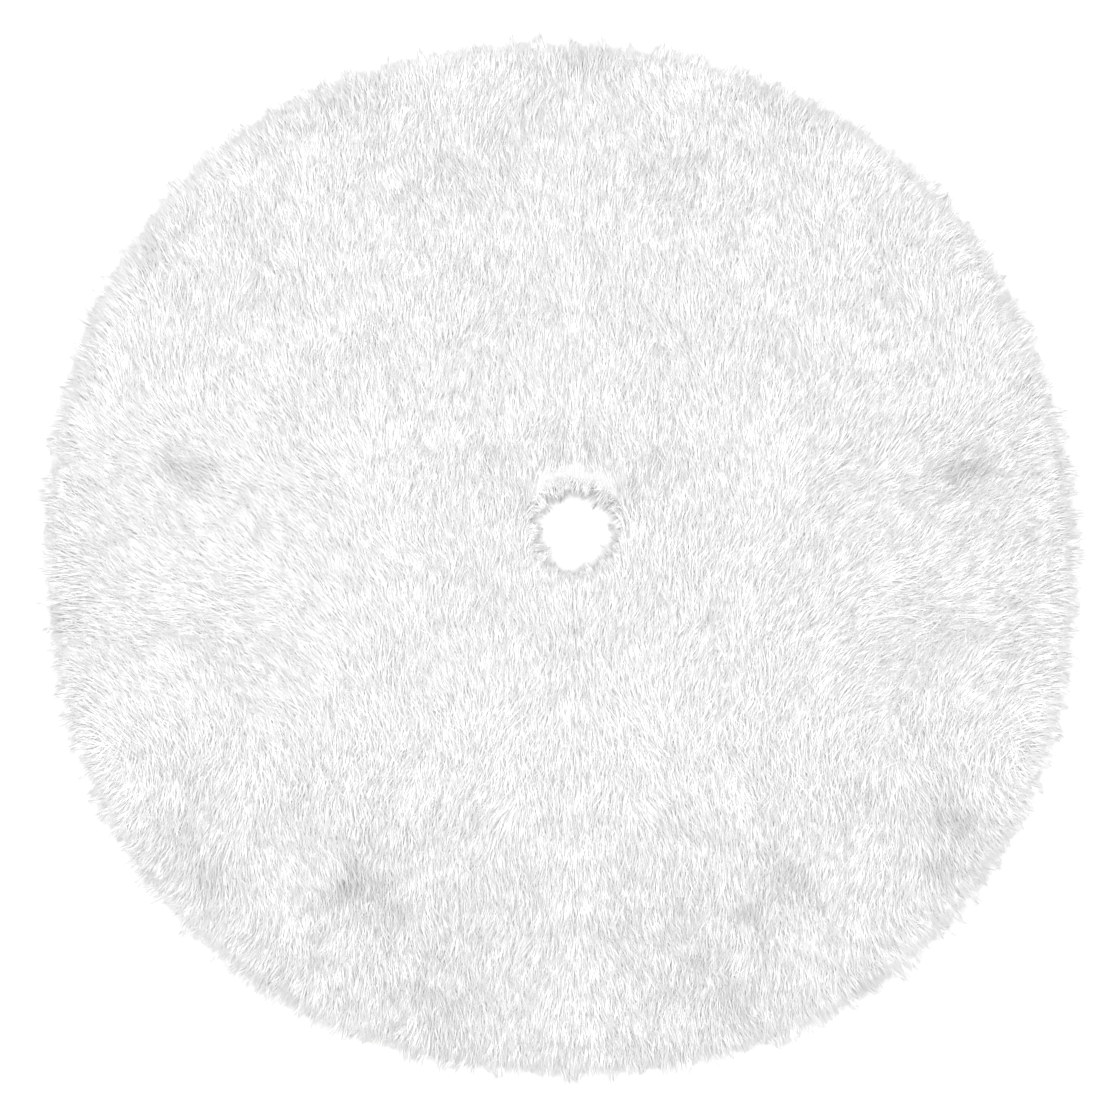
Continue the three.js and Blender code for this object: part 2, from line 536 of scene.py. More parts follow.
def surface(name: str, **settings: object) -> tuple[bpy.types.Material, bpy.types.NodeTree]:
    """Makes a material with one Principled shader.

    Args:
        name: the material's name.
        settings: the shader's constant values, with _ for a space in an input's name.

    Returns:
        The material and its node tree.
    """
    made = bpy.data.materials.new(name)
    made.use_nodes = True
    tree = made.node_tree
    shader = tree.nodes["Principled BSDF"]
    for key, value in settings.items():
        shader.inputs[key.replace("_", " ")].default_value = value
    return made, tree


def feed(tree: bpy.types.NodeTree, **sockets: Socket) -> None:
    """Links sockets to the Principled shader of a tree.

    Args:
        tree: the material's tree.
        sockets: the shader's inputs, with _ for a space, and what feeds them.
    """
    for key, socket in sockets.items():
        tree.links.new(socket, tree.nodes["Principled BSDF"].inputs[key.replace("_", " ")])


def ramp(tree: bpy.types.NodeTree, value: Socket, stops: list[tuple[float, str]]) -> Socket:
    """Colours a value by stops.

    Args:
        tree: the material's tree.
        value: what is coloured, from 0 to 1.
        stops: each place and its sRGB hex colour.

    Returns:
        The colour's socket.
    """
    made = add_node(tree, "ShaderNodeValToRGB", {"Fac": value})
    points = made.color_ramp.elements
    while len(points) < len(stops):
        points.new(0.5)
    for point, (place, code) in zip(points, stops):
        point.position = place
        point.color = colour(code)
    return made.outputs["Color"]


@dataclass(frozen=True)
class FurFinish:
    """Long pile of crimped acrylic fibre, sheared and combed: soft, even and hardly glossy."""

    # The shaded end of the tones is painted shade, reached at the rim, at the hole, on the fringe
    # and in tousled spots, and a little by random tone.
    shaded: str = "#c6c6c6"
    usual: str = "#fdfdfd"
    bright: str = "#ffffff"
    # Painted shade at the hairs' roots.
    root: str = "#fcfcfc"

    def material(self) -> bpy.types.Material:
        """Builds the material: each hair has its own tone, partly random and partly painted shade,
        and is darker at its root as painted shade.

        Returns:
            The acrylic pile's material.
        """
        made, tree = surface(
            "acrylic_faux_fur",
            Roughness=0.62,
            Specular_IOR_Level=0.28,
            Sheen_Weight=0.3,
            Sheen_Roughness=0.45,
        )
        place = add_node(tree, "ShaderNodeUVMap", uv_map=BAKE_MAP).outputs["UV"]
        apart = add_node(tree, "ShaderNodeSeparateXYZ", {0: place}).outputs
        stops = [(0.0, self.shaded), (0.5, self.usual), (1.0, self.bright)]
        tone = ramp(tree, apart["X"], stops)
        # Painted shade: each hair is a little darker towards its root.
        depth = ramp(tree, apart["Y"], [(0.0, self.root), (0.55, "#ffffff")])
        # The colour sockets go by place, because their names are shared with hidden ones.
        mix = add_node(
            tree, "ShaderNodeMix", {0: 1.0, 6: tone, 7: depth},
            data_type="RGBA", blend_type="MULTIPLY",
        )
        feed(tree, Base_Color=mix.outputs[2])
        return made


@dataclass(frozen=True)
class UnderfurFinish:
    """Dense short acrylic wool under the pile: matt, with faint wisps, and grey as painted shade.
    """

    # Painted shade: the wool is grey, darker than the hairs, as the shade that the long pile casts
    # on itself, and the gaps between the hairs show it.
    low: str = "#bcbcbc"
    high: str = "#cacaca"
    wisp: float = 2.5 * MM  # across the nap, and how long beside its width
    stretch: float = 7.0

    def material(self) -> bpy.types.Material:
        """Builds the material from noise drawn out into wisps along the nap.

        Returns:
            The underfur's material.
        """
        made, tree = surface("acrylic_underfur", Roughness=0.9, Specular_IOR_Level=0.15)
        place = add_node(tree, "ShaderNodeTexCoord").outputs["Object"]
        drawn = add_node(
            tree, "ShaderNodeMapping", {"Vector": place, "Scale": (1.0, 1 / self.stretch, 1.0)}
        )
        noise = add_node(
            tree,
            "ShaderNodeTexNoise",
            {"Vector": drawn.outputs["Vector"], "Scale": 1 / self.wisp, "Detail": 3.0},
        )
        bump = add_node(
            tree,
            "ShaderNodeBump",
            {"Height": noise.outputs["Fac"], "Strength": 0.6, "Distance": 1 * MM},
        )
        tone = ramp(tree, noise.outputs["Fac"], [(0.3, self.low), (0.7, self.high)])
        feed(tree, Base_Color=tone, Normal=bump.outputs["Normal"])
        return made


@dataclass(frozen=True)
class WovenFinish:
    """Cloth or tape of crossing threads, drawn by two waves over each other."""

    name: str
    low: str
    high: str
    across: float  # thread spacing along X
    along: float  # and along Y
    roughness: float
    sheen: float = 0.1
    twill: bool = False  # whether the threads cross on the slant

    def material(self) -> bpy.types.Material:
        """Builds the material: thread relief, darker between the threads, and faint slubs.

        Returns:
            The cloth's or the tape's material.
        """
        made, tree = surface(
            self.name,
            Roughness=self.roughness,
            Specular_IOR_Level=0.25,
            Sheen_Weight=self.sheen,
            Sheen_Roughness=0.5,
        )
        place = add_node(tree, "ShaderNodeTexCoord").outputs["Object"]
        turn = (0.0, 0.0, math.radians(45) if self.twill else 0.0)
        slanted = add_node(tree, "ShaderNodeMapping", {"Vector": place, "Rotation": turn})
        waves = []
        for direction, spacing in (("X", self.across), ("Y", self.along)):
            wave = add_node(
                tree,
                "ShaderNodeTexWave",
                {
                    "Vector": slanted.outputs["Vector"],
                    "Scale": 0.314159 / spacing,  # one wave for each thread
                    "Distortion": 0.6,
                    "Detail": 1.0,
                    "Detail Scale": 2.0,
                },
                wave_type="BANDS",
                bands_direction=direction,
            )
            waves.append(wave.outputs["Fac"])
        high = add_node(tree, "ShaderNodeMath", {0: waves[0], 1: waves[1]}, operation="MAXIMUM")
        slub = add_node(tree, "ShaderNodeTexNoise", {"Vector": place, "Scale": 40.0, "Detail": 4.0})
        slubs = add_node(
            tree, "ShaderNodeMath", {0: slub.outputs["Fac"], 1: 0.45}, operation="MULTIPLY"
        )
        both = add_node(
            tree, "ShaderNodeMath", {0: high.outputs[0], 1: 0.55, 2: slubs.outputs[0]},
            operation="MULTIPLY_ADD",
        )
        tone = ramp(tree, both.outputs[0], [(0.25, self.low), (0.8, self.high)])
        bump = add_node(
            tree,
            "ShaderNodeBump",
            {"Height": high.outputs[0], "Strength": 0.7, "Distance": 0.3 * MM},
        )
        feed(tree, Base_Color=tone, Normal=bump.outputs["Normal"])
        return made


@dataclass(frozen=True)
class Finishes:
    """Every finish of the skirt."""

    fur: bpy.types.Material
    underfur: bpy.types.Material
    knit: bpy.types.Material
    lining: bpy.types.Material
    tape: bpy.types.Material
    loop: bpy.types.Material
    hook: bpy.types.Material
    label: bpy.types.Material
    thread: bpy.types.Material

    @classmethod
    def make(cls) -> "Finishes":
        """Builds the materials once for all the pieces.

        Returns:
            The finishes.
        """
        return cls(
            fur=FurFinish().material(),
            underfur=UnderfurFinish().material(),
            # Warp-knitted polyester: soft rows of loops, drawn at 2.4 mm, twice their real size.
            knit=WovenFinish(
                "knitted_polyester", "#a9a7a2", "#c0beb9", 2.4 * MM, 3.2 * MM, 0.9
            ).material(),
            # Plain woven polyester-cotton: a fine flat grid of threads, drawn at 1.5 mm.
            lining=WovenFinish(
                "woven_polycotton", "#a3a19c", "#bfbdb8", 1.5 * MM, 1.5 * MM, 0.82
            ).material(),
            # Cotton twill tape: slanting ribs and a dry surface.
            tape=WovenFinish(
                "cotton_twill_tape", "#9a968d", "#b9b5ac", 1.2 * MM, 5 * MM, 0.9,
                twill=True,
            ).material(),
            # Brushed nylon loops, cloudy and matt.
            loop=WovenFinish(
                "brushed_nylon_loop", "#a3a29e", "#bebdb9", 1 * MM, 1.3 * MM, 0.95, 0.3
            ).material(),
            # Extruded nylon hooks in rows, a little glossy.
            hook=WovenFinish(
                "nylon_hook", "#9f9e9a", "#bab9b5", 1.6 * MM, 1.2 * MM, 0.55
            ).material(),
            # Polyester satin: long floats that shine across the thread.
            label=WovenFinish(
                "polyester_satin", "#b6b6b4", "#cbcbc9", 0.8 * MM, 6 * MM, 0.38, 0.2
            ).material(),
            # Spun polyester thread: two plies with a soft sheen.
            thread=WovenFinish(
                "spun_polyester_thread", "#a6a39c", "#c6c3bd", 0.5 * MM, 0.5 * MM, 0.6
            ).material(),
        )


# ===== The pile =====


@dataclass(frozen=True)
class HairKind:
    """One kind of hair of the pile."""

    spacing: float  # between roots
    length: float
    radius: float
    rings: int  # steps along a hair
    height: float  # of the tips, above the floor
    seed: int


class PointTree:
    """A node tree that puts something on every point and joins it to one mesh."""

    def __init__(self, name: str, settings: dict[str, str]) -> None:
        """Starts the tree.

        Args:
            name: the tree's name.
            settings: its inputs beside the points, each with its type.
        """
        self.tree = bpy.data.node_groups.new(name, "GeometryNodeTree")
        face = self.tree.interface
        face.new_socket("Points", in_out="INPUT", socket_type="NodeSocketGeometry")
        self.keys = {
            key: face.new_socket(key, in_out="INPUT", socket_type=f"NodeSocket{kind}").identifier
            for key, kind in settings.items()
        }
        face.new_socket("Parts", in_out="OUTPUT", socket_type="NodeSocketGeometry")
        self.source = add_node(self.tree, "NodeGroupInput").outputs

    def add(self, kind: str, inputs: dict, **settings: object) -> Socket:
        """Adds a node.

        Args:
            kind: the node's type.
            inputs: by name or place, what feeds an input or the value it holds.
            settings: the node's own settings.

        Returns:
            The node's first output.
        """
        return add_node(self.tree, kind, inputs, **settings).outputs[0]

    def read(self, name: str, kind: str = "FLOAT_VECTOR") -> Socket:
        """Reads a stored attribute.

        Args:
            name: the attribute's name.
            kind: its data type.

        Returns:
            The attribute's socket.
        """
        return self.add("GeometryNodeInputNamedAttribute", {"Name": name}, data_type=kind)

    def math(self, operation: str, *values: object) -> Socket:
        """Works out one number.

        Args:
            operation: the Math node's operation.
            values: what it works on, sockets or numbers.

        Returns:
            The result's socket.
        """
        return self.add("ShaderNodeMath", dict(enumerate(values)), operation=operation)

    def place(self, part: Socket, turn: Socket, **scale: Socket) -> Socket:
        """Puts a part on every point.

        Args:
            part: the part's geometry.
            turn: the rotation of each.
            scale: the size of each as Scale, if they differ.

        Returns:
            The parts as one mesh.
        """
        inputs = {"Points": self.source["Points"], "Instance": part, "Rotation": turn, **scale}
        placed = self.add("GeometryNodeInstanceOnPoints", inputs)
        return self.add("GeometryNodeRealizeInstances", {0: placed})

    def end(self, parts: Socket, material: bpy.types.Material) -> None:
        """Ends the tree with smooth shading and the material.

        Args:
            parts: the geometry.
            material: its material.
        """
        smooth = self.add("GeometryNodeSetShadeSmooth", {"Geometry": parts})
        dressed = self.add("GeometryNodeSetMaterial", {"Geometry": smooth, "Material": material})
        add_node(self.tree, "NodeGroupOutput", {0: dressed})

    def run(self, name: str, points: Array, values: dict[str, Array], **settings: float) -> Object:
        """Runs the tree on a set of points.

        Args:
            name: the piece's name.
            points: the points' X, Y and Z.
            values: what each point carries: a number or a vector for each.
            settings: the tree's inputs by name.

        Returns:
            The parts as one plain object, without the attributes.
        """
        made = object_from(name + "_points", points, [])
        for key, value in values.items():
            kind, entry = ("FLOAT_VECTOR", "vector") if value.ndim == 2 else ("FLOAT", "value")
            layer = made.data.attributes.new(key, kind, "POINT")
            layer.data.foreach_set(entry, value.astype(np.float32).ravel())
        modifier = made.modifiers.new("parts", "NODES")
        modifier.node_group = self.tree
        for key, value in settings.items():
            modifier[self.keys[key]] = value
        parts = evaluated(made, name)
        # What the points carried, and a hair's own shape, are of no more use.
        for key in (*values, "hair"):
            layer = parts.data.attributes.get(key)
            if layer:
                parts.data.attributes.remove(layer)
        return parts


class HairTree(PointTree):
    """The node tree that grows one tapered hair on every root point and bends it."""

    def __init__(self, fur: bpy.types.Material) -> None:
        """Builds the tree.

        Args:
            fur: the hairs' material.
        """
        super().__init__("grow_hairs", {"Rings": "Int"})
        aligned = self.add(
            "FunctionNodeAlignRotationToVector", {"Vector": self.read("lie")}, axis="Z"
        )
        roll = {"Axis": (0.0, 0.0, 1.0), "Angle": self.read("roll", "FLOAT")}
        rolled = self.add("FunctionNodeAxisAngleToRotation", roll)
        spun = self.add(
            "FunctionNodeRotateRotation", {0: aligned, 1: rolled}, rotation_space="LOCAL"
        )
        hairs = self.place(self._template(), spun, Scale=self.read("size"))
        self.end(self._paint(self._bend(hairs)), fur)

    def _own(self) -> bpy.types.NodeOutputs:
        """Each point's X, Y and Z in the shape of the straight hair."""
        return add_node(self.tree, "ShaderNodeSeparateXYZ", {0: self.read("hair")}).outputs

    def _template(self) -> Socket:
        """Makes the one hair that is repeated: three-sided, full in the middle, with a fine tip.

        Returns:
            The hair's geometry, a unit long, with its own shape kept in the attribute hair.
        """
        cone = self.add(
            "GeometryNodeMeshCone",
            {"Vertices": 3, "Side Segments": self.source["Rings"], "Radius Top": 0.0,
             "Radius Bottom": 1.0, "Depth": 1.0},
            fill_type="NGON",
        )
        here = self.add("GeometryNodeInputPosition", {})
        kept = self.add(
            "GeometryNodeStoreNamedAttribute", {"Geometry": cone, "Name": "hair", "Value": here},
            data_type="FLOAT_VECTOR", domain="POINT",
        )
        own = self._own()
        left = self.math("SUBTRACT", 1.0, own["Z"])
        swell = self.math("MULTIPLY", self.math("MULTIPLY", own["Z"], left), 3.2)
        wider = {k: self.math("MULTIPLY", own[k], swell) for k in (0, 1)}
        fuller = self.add("ShaderNodeCombineXYZ", {**wider, 2: 0.0})
        return self.add("GeometryNodeSetPosition", {"Geometry": kept, "Offset": fuller})

    def _bend(self, hairs: Socket) -> Socket:
        """Bends each hair by its attribute bend, more and more towards its tip.

        Args:
            hairs: the straight hairs.

        Returns:
            The bent hairs.
        """
        share = self.math("POWER", self._own()["Z"], 1.8)
        moved = self.add(
            "ShaderNodeVectorMath", {0: self.read("bend"), "Scale": share}, operation="SCALE"
        )
        return self.add("GeometryNodeSetPosition", {"Geometry": hairs, "Offset": moved})

    def _paint(self, hairs: Socket) -> Socket:
        """Stores the map whose u is a hair's tone and whose v runs from its root to its tip.

        Args:
            hairs: the bent hairs.

        Returns:
            The hairs with their map. Each is a sliver of the map, so no face is without width.
        """
        own = self._own()
        u = self.math("MULTIPLY_ADD", own["X"], 0.004, self.read("tone", "FLOAT"))
        v = self.math("MULTIPLY_ADD", own["Z"], 0.95, 0.025)
        v = self.math("MULTIPLY_ADD", own["Y"], 0.01, v)
        place = self.add("ShaderNodeCombineXYZ", {0: u, 1: v, 2: 0.0})
        return self.add(
            "GeometryNodeStoreNamedAttribute",
            {"Geometry": hairs, "Name": BAKE_MAP, "Value": place},
            data_type="FLOAT2", domain="CORNER",
        )


@dataclass(frozen=True)
class Tousle:
    """A spot where the pile lies rough, and where its hairs are painted darker as painted shade."""

    across: float  # from the seam
    y: float
    radius: float
    depth: float
    side: Side | None = None  # one half only, or both


@dataclass(frozen=True)
class Tones:
    """How light the hairs are, from 0 to 1, and how much each thing adds or takes away."""

    middle: float = 0.62
    outwards: float = 0.16  # painted shade, taken away from the hole to the rim
    patch: float = 0.09
    mottle: float = 0.06
    lock: float = 0.02
    tuft: float = 0.015
    hair: float = 0.015
    rough: float = 0.5  # painted shade, taken away where the pile is tousled
    # Painted shade at the rim and at the hole's edge.
    rim: float = 0.12
    hole: float = 0.1
    behind: float = 0.3  # painted shade, taken away behind the hole, where the hair falls over its edge
    # Low tones of the fringe hairs over the rim and the hole, as painted shade.
    fringe_rim_shade: float = 0.24
    fringe_hole_shade: float = 0.12
    fringe_tuft: float = 0.18
    fringe_hair: float = 0.03
    least: float = 0.02
    most: float = 0.98


@dataclass(frozen=True)
class Pile:
    """The long pile: which way it lies, how long it is, and how light each hair is."""

    plan: Plan
    underfur: "Layer"
    rooted: float = 2 * MM  # how deep in the underfur a hair starts to show
    hairs: tuple[HairKind, ...] = (
        HairKind(3.58 * MM, 42 * MM, 0.68 * MM, 2, 18.5 * MM, 11),
        HairKind(2.82 * MM, 27 * MM, 0.75 * MM, 1, 17 * MM, 12),
    )
    fringe_hair: HairKind = HairKind(3.3 * MM, 34 * MM, 1.0 * MM, 2, 9 * MM, 13)
    spike: float = 8.4 * MM  # between the spikes of the fringe
    fringe_depth: float = 14 * MM  # how far in from the ground cloth's edge the fringe is rooted
    collar: float = 26 * MM  # the same from the hole
    spike_swing: float = 22.0  # degrees that a spike and a hair in it turn either way
    spike_stray: float = 6.0
    collar_stray: float = 75.0  # degrees that the collar's inner hairs turn either way
    tidy_collar: float = 8 * MM  # how far from the hole they begin to
    sewn_inset: float = 13.2 * MM  # from the laid edge to the ground cloth's edge
    rim_turn: float = 70 * MM  # how far in from the edge the pile starts to turn outwards
    hole_turn: float = 20 * MM  # and to turn over the hole's edge
    hole_share: float = 0.65  # how far it turns there
    side_start: float = 150 * MM  # how far across the pile starts to turn outwards at the sides
    side_run: float = 230 * MM  # and over which distance
    side_y: float = -25 * MM  # the middle of the sides
    side_depth: float = 130 * MM  # how far before and behind it they reach
    side_turn: float = 75.0  # degrees
    parting_y: float = -225 * MM  # in front of this the pile points to the front
    parting_depth: float = 240 * MM  # over this depth the two directions are mixed
    sectors: int = 6  # pieces in each half
    off_seam: float = 0.6 * MM  # between the seam and the nearest root
    lock_size: float = 15 * MM  # sizes of the locks, the tufts and the broad sweeps of hair
    tuft_size: float = 7 * MM
    sweep_size: float = 52 * MM
    lock_swing: float = 18.0  # degrees that each of them, a slow wave and a hair turn either way
    tuft_swing: float = 9.0
    sweep_swing: float = 12.0
    wave_swing: float = 18.0
    hair_swing: float = 9.0
    lowest: float = 4 * MM  # and highest tip
    highest: float = 26 * MM
    shortest: float = 6 * MM
    tones: Tones = Tones()
    tousles: tuple[Tousle, ...] = (
        Tousle(76 * MM, 104 * MM, 32 * MM, 0.8),
        Tousle(22 * MM, 122 * MM, 30 * MM, 0.35),
        Tousle(440 * MM, 85 * MM, 34 * MM, 0.7),
        Tousle(587 * MM, -72 * MM, 26 * MM, 0.5, Side.LEFT),
        Tousle(440 * MM, -166 * MM, 34 * MM, 0.5),
        Tousle(270 * MM, -365 * MM, 30 * MM, 0.7),
        Tousle(200 * MM, -400 * MM, 34 * MM, 0.7),
        Tousle(428 * MM, -283 * MM, 30 * MM, 0.7, Side.RIGHT),
        Tousle(0 * MM, 550 * MM, 28 * MM, 0.6),
        Tousle(41 * MM, 333 * MM, 30 * MM, 0.4, Side.RIGHT),
        Tousle(334 * MM, 321 * MM, 36 * MM, 0.4, Side.LEFT),
    )

    def lie(self, x: Array, y: Array, pick: Array) -> Array:
        """Which way the pile lies.

        It points to the back behind the parting and to the front before it, and turns outwards
        at the sides, at the rim and over the hole.

        Args:
            x: the roots' X.
            y: the roots' Y.
            pick: each hair's own number from 0 to 1, which says where it changes direction.

        Returns:
            The angles from +Y, turning outwards on each half.
        """
        plan = self.plan
        across = np.abs(x - plan.seam)
        sign = np.where(x < plan.seam, -1.0, 1.0)
        beside = ease((across - self.side_start) / self.side_run)
        sideways = beside * np.exp(-(((y - self.side_y) / self.side_depth) ** 2) / 2)
        turn = math.radians(self.side_turn) * sideways
        front = ease((self.parting_y - y) / self.parting_depth + 0.5)
        turn = turned(turn, math.pi, front, pick)
        outwards = np.arctan2(sign * x, y)
        to_rim = ease(1 - (plan.to_rim(x, y) - self.sewn_inset) / self.rim_turn)
        turn = turned(turn, outwards, to_rim, pick)
        inwards = np.arctan2(-across, plan.hole_y - y)
        to_hole = self.hole_share * ease(1 - plan.to_hole(x, y) / self.hole_turn)
        return turned(turn, inwards, to_hole, pick)

    def arc(self, climb: Array, start: float = 2.5 * MM) -> tuple[Array, Array]:
        """Splits a hair's climb from its root to its tip, so that it always bows upwards.

        Args:
            climb: how much higher each tip is than its root, below 0 for a falling hair.
            start: how far a falling hair would climb before it bends.

        Returns:
            The climb of the straight hair, and how far its tip is then bent up or down.
        """
        rise = np.where(climb > start, climb / 0.7, start)
        return rise, climb - rise

    def shade(self, x: Array, y: Array) -> Array:
        """How rough the pile is at each root, which also sets its painted shade.

        Args:
            x: the roots' X.
            y: the roots' Y.

        Returns:
            The shade, from 0 to about 1.
        """
        across = np.abs(x - self.plan.seam)
        torn = 0.55 + 0.45 * Hills(13 * MM, 54).at(across, y)
        across = across + 16 * MM * Hills(24 * MM, 52).at(across, y)
        y = y + 14 * MM * Hills(24 * MM, 53).at(across, y)
        total = np.zeros_like(x)
        for spot in self.tousles:
            away = np.hypot(across - spot.across, (y - spot.y) * 1.5) / spot.radius
            here = spot.depth * np.exp(-away * away)
            if spot.side is not None:
                here = np.where(np.sign(x - self.plan.seam) == spot.side.sign, here, 0.0)
            total = np.maximum(total, here)
        return total * torn

    def roots(self, kind: HairKind) -> dict[str, Array]:
        """Scatters roots over the whole skirt and works out each hair.

        Args:
            kind: the kind of hair.

        Returns:
            The roots' points, and their lie, bend, size, tone and roll.
        """
        plan = self.plan
        draw = np.random.default_rng(kind.seed)
        reach = plan.half_width + plan.bulge
        row = kind.spacing * math.sqrt(3) / 2
        gy, gx = np.mgrid[-reach : reach : row, -reach : reach : kind.spacing]
        gx = gx + (np.arange(gx.shape[0]) % 2)[:, None] * kind.spacing / 2
        jitter = draw.uniform(-0.5, 0.5, (2,) + gx.shape) * kind.spacing
        x, y = (gx + jitter[0]).ravel(), (gy + jitter[1]).ravel()
        rim, hole = plan.to_rim(x, y), plan.to_hole(x, y)
        kept = (rim > self.sewn_inset) & (hole > 1.2 * MM)
        kept &= np.abs(x - plan.seam) > self.off_seam
        x, y, rim, hole = x[kept], y[kept], rim[kept], hole[kept]
        sign = np.where(x < plan.seam, -1.0, 1.0)
        across = np.abs(x - plan.seam)
        count = len(x)

        lock_x, lock_y, lock = Locks(self.lock_size, 21).at(across, y)
        tuft_x, tuft_y, tuft = Locks(self.tuft_size, 22).at(across, y)
        wavy = across + 12 * MM * Hills(20 * MM, 5).at(across, y)
        _, _, sweep = Locks(self.sweep_size, 23).at(wavy, y)
        rough = self.shade(x, y)
        calm = ease((rim - self.sewn_inset) / (25 * MM)) * ease(hole / (20 * MM))
        loose = (0.35 + 0.65 * calm) * (1 + 0.8 * rough) * (0.4 + 0.6 * ease(across / (40 * MM)))
        turn = self.lie(x, y, draw.random(count))
        turn += loose * math.radians(self.lock_swing) * (2 * lock[:, 0] - 1)
        turn += loose * math.radians(self.tuft_swing) * (2 * tuft[:, 0] - 1)
        turn += loose * math.radians(self.wave_swing) * Hills(70 * MM, 31).at(across, y)
        turn += loose * math.radians(self.sweep_swing) * (2 * sweep[:, 0] - 1)
        turn += math.radians(self.hair_swing) * draw.normal(0, 1, count)
        way = np.stack([sign * np.sin(turn), np.cos(turn)], 1)

        length = kind.length * (0.82 + 0.36 * lock[:, 1]) * draw.uniform(0.8, 1.15, count)
        edge = np.clip((rim - self.sewn_inset) / (22 * MM), 0, 1)
        tip = kind.height * (1 + 0.07 * Hills(45 * MM, 32).at(across, y))
        tip += kind.height * (0.05 * (2 * lock[:, 2] - 1) + 0.05 * draw.uniform(-1, 1, count))
        tip *= 0.5 + 0.5 * ease(edge)
        tip *= 0.7 + 0.3 * ease(hole / (14 * MM))
        base = self.underfur.heights(Side.LEFT, x, y)[0]
        base -= self.rooted * draw.uniform(0.5, 1.5, count)
        tip = np.clip(tip, self.lowest, self.highest)
        rise, sink = self.arc(tip - base)
        # Hairs that point over the rim or over the hole end a little past the laid edge.
        past = (5 * tuft[:, 3] - 4 + 2 * draw.uniform(-1, 1, count)) * MM
        outward = np.stack([x, y], 1) / np.hypot(x, y)[:, None]
        facing = np.maximum((way * outward).sum(1), 0.05)
        length = np.minimum(length, np.maximum((rim + past) / facing, self.shortest))
        middle = np.stack([plan.seam - x, plan.hole_y - y], 1)
        middle /= np.linalg.norm(middle, axis=1)[:, None]
        facing = np.maximum((way * middle).sum(1), 0.05)
        lap = (4 * tuft[:, 3] + 2 * draw.uniform(-1, 1, count)) * MM
        length = np.minimum(length, np.maximum((hole + lap) / facing, self.shortest))
        flat = np.sqrt(np.maximum(length**2 - rise**2, (0.5 * length) ** 2))
        lie = np.column_stack([way * flat[:, None], rise])
        lie /= np.linalg.norm(lie, axis=1)[:, None]

        pull = 0.35 * loose
        gather = 0.3 + 0.45 * (1 - calm)
        bend_x = sign * (lock_x - across) * pull + sign * (tuft_x - across) * gather
        bend_y = (lock_y - y) * pull + (tuft_y - y) * gather
        curl = (0.10 * draw.normal(0, 1, count) + 0.12 * (2 * tuft[:, 1] - 1)) * length
        bend = np.column_stack([bend_x - way[:, 1] * curl, bend_y + way[:, 0] * curl, sink])
        # Hairs beside the strip over the back seam keep out of it, or they would show when folded.
        leans = -sign * (lie[:, 0] * length + bend[:, 0])
        into = np.maximum(leans - (across - plan.strip), 0) * (across > plan.strip)
        bend[:, 0] += sign * into * (y > plan.hole_y)
        radius = kind.radius * draw.uniform(0.7, 1.2, count)

        from_hole = np.hypot(x - plan.seam, y - plan.hole_y) / plan.half_width
        by = self.tones
        # Painted shade: the hairs are darker from the hole out to the rim.
        tone = by.middle - by.outwards * from_hole**2
        patch, mottle = Hills(85 * MM, 41).at(across, y), Hills(34 * MM, 42).at(x, y)
        tone += by.patch * patch + by.mottle * mottle
        # Random tone of each lock and tuft, and painted shade where the pile is tousled.
        tone += by.lock * (2 * lock[:, 3] - 1) + by.tuft * (2 * tuft[:, 2] - 1) - by.rough * rough
        tone += by.hair * draw.normal(0, 1, count)
        # Painted shade at the rim, at the hole's edge, and behind the hole where the hair falls
        # over its edge.
        behind = ease((y - plan.hole_y + 20 * MM) / (40 * MM))
        tone -= by.rim * (1 - ease(edge)) + by.hole * (1 - ease(hole / (10 * MM)))
        tone -= by.behind * behind * (1 - ease(hole / (48 * MM)))
        size = np.column_stack([radius, radius, length])
        points, roll = np.column_stack([x, y, base]), draw.uniform(0, math.tau, count)
        return {"points": points, "lie": lie, "bend": bend, "size": size,
                "tone": np.clip(tone, by.least, by.most), "roll": roll}

    def fringe(self, kind: HairKind) -> dict[str, Array]:
        """Works out the thick short hairs that stand in spiky tufts over the rim and the hole.

        Args:
            kind: the kind of hair.

        Returns:
            The roots' points, and their lie, bend, size, tone and roll.
        """
        plan = self.plan
        draw = np.random.default_rng(kind.seed)
        rim_count = int(math.tau * plan.half_width * self.fringe_depth / kind.spacing**2)
        hole_count = int(math.tau * plan.hole_radius * self.collar / kind.spacing**2 * 1.4)
        at_rim = np.arange(rim_count + hole_count) < rim_count
        angle = draw.uniform(0, math.tau, len(at_rim))
        depth = np.where(at_rim, self.fringe_depth, self.collar) * draw.random(len(at_rim))
        room = depth + np.where(at_rim, self.sewn_inset, 2 * MM)
        reach = np.where(at_rim, plan.edge(angle, room), plan.hole_radius + room)
        x = np.where(at_rim, 0.0, plan.seam) + reach * np.cos(angle)
        y = np.where(at_rim, 0.0, plan.hole_y) + reach * np.sin(angle)
        kept = np.abs(x - plan.seam) > self.off_seam
        at_rim, angle, depth, room, x, y = (v[kept] for v in (at_rim, angle, depth, room, x, y))
        count = len(x)

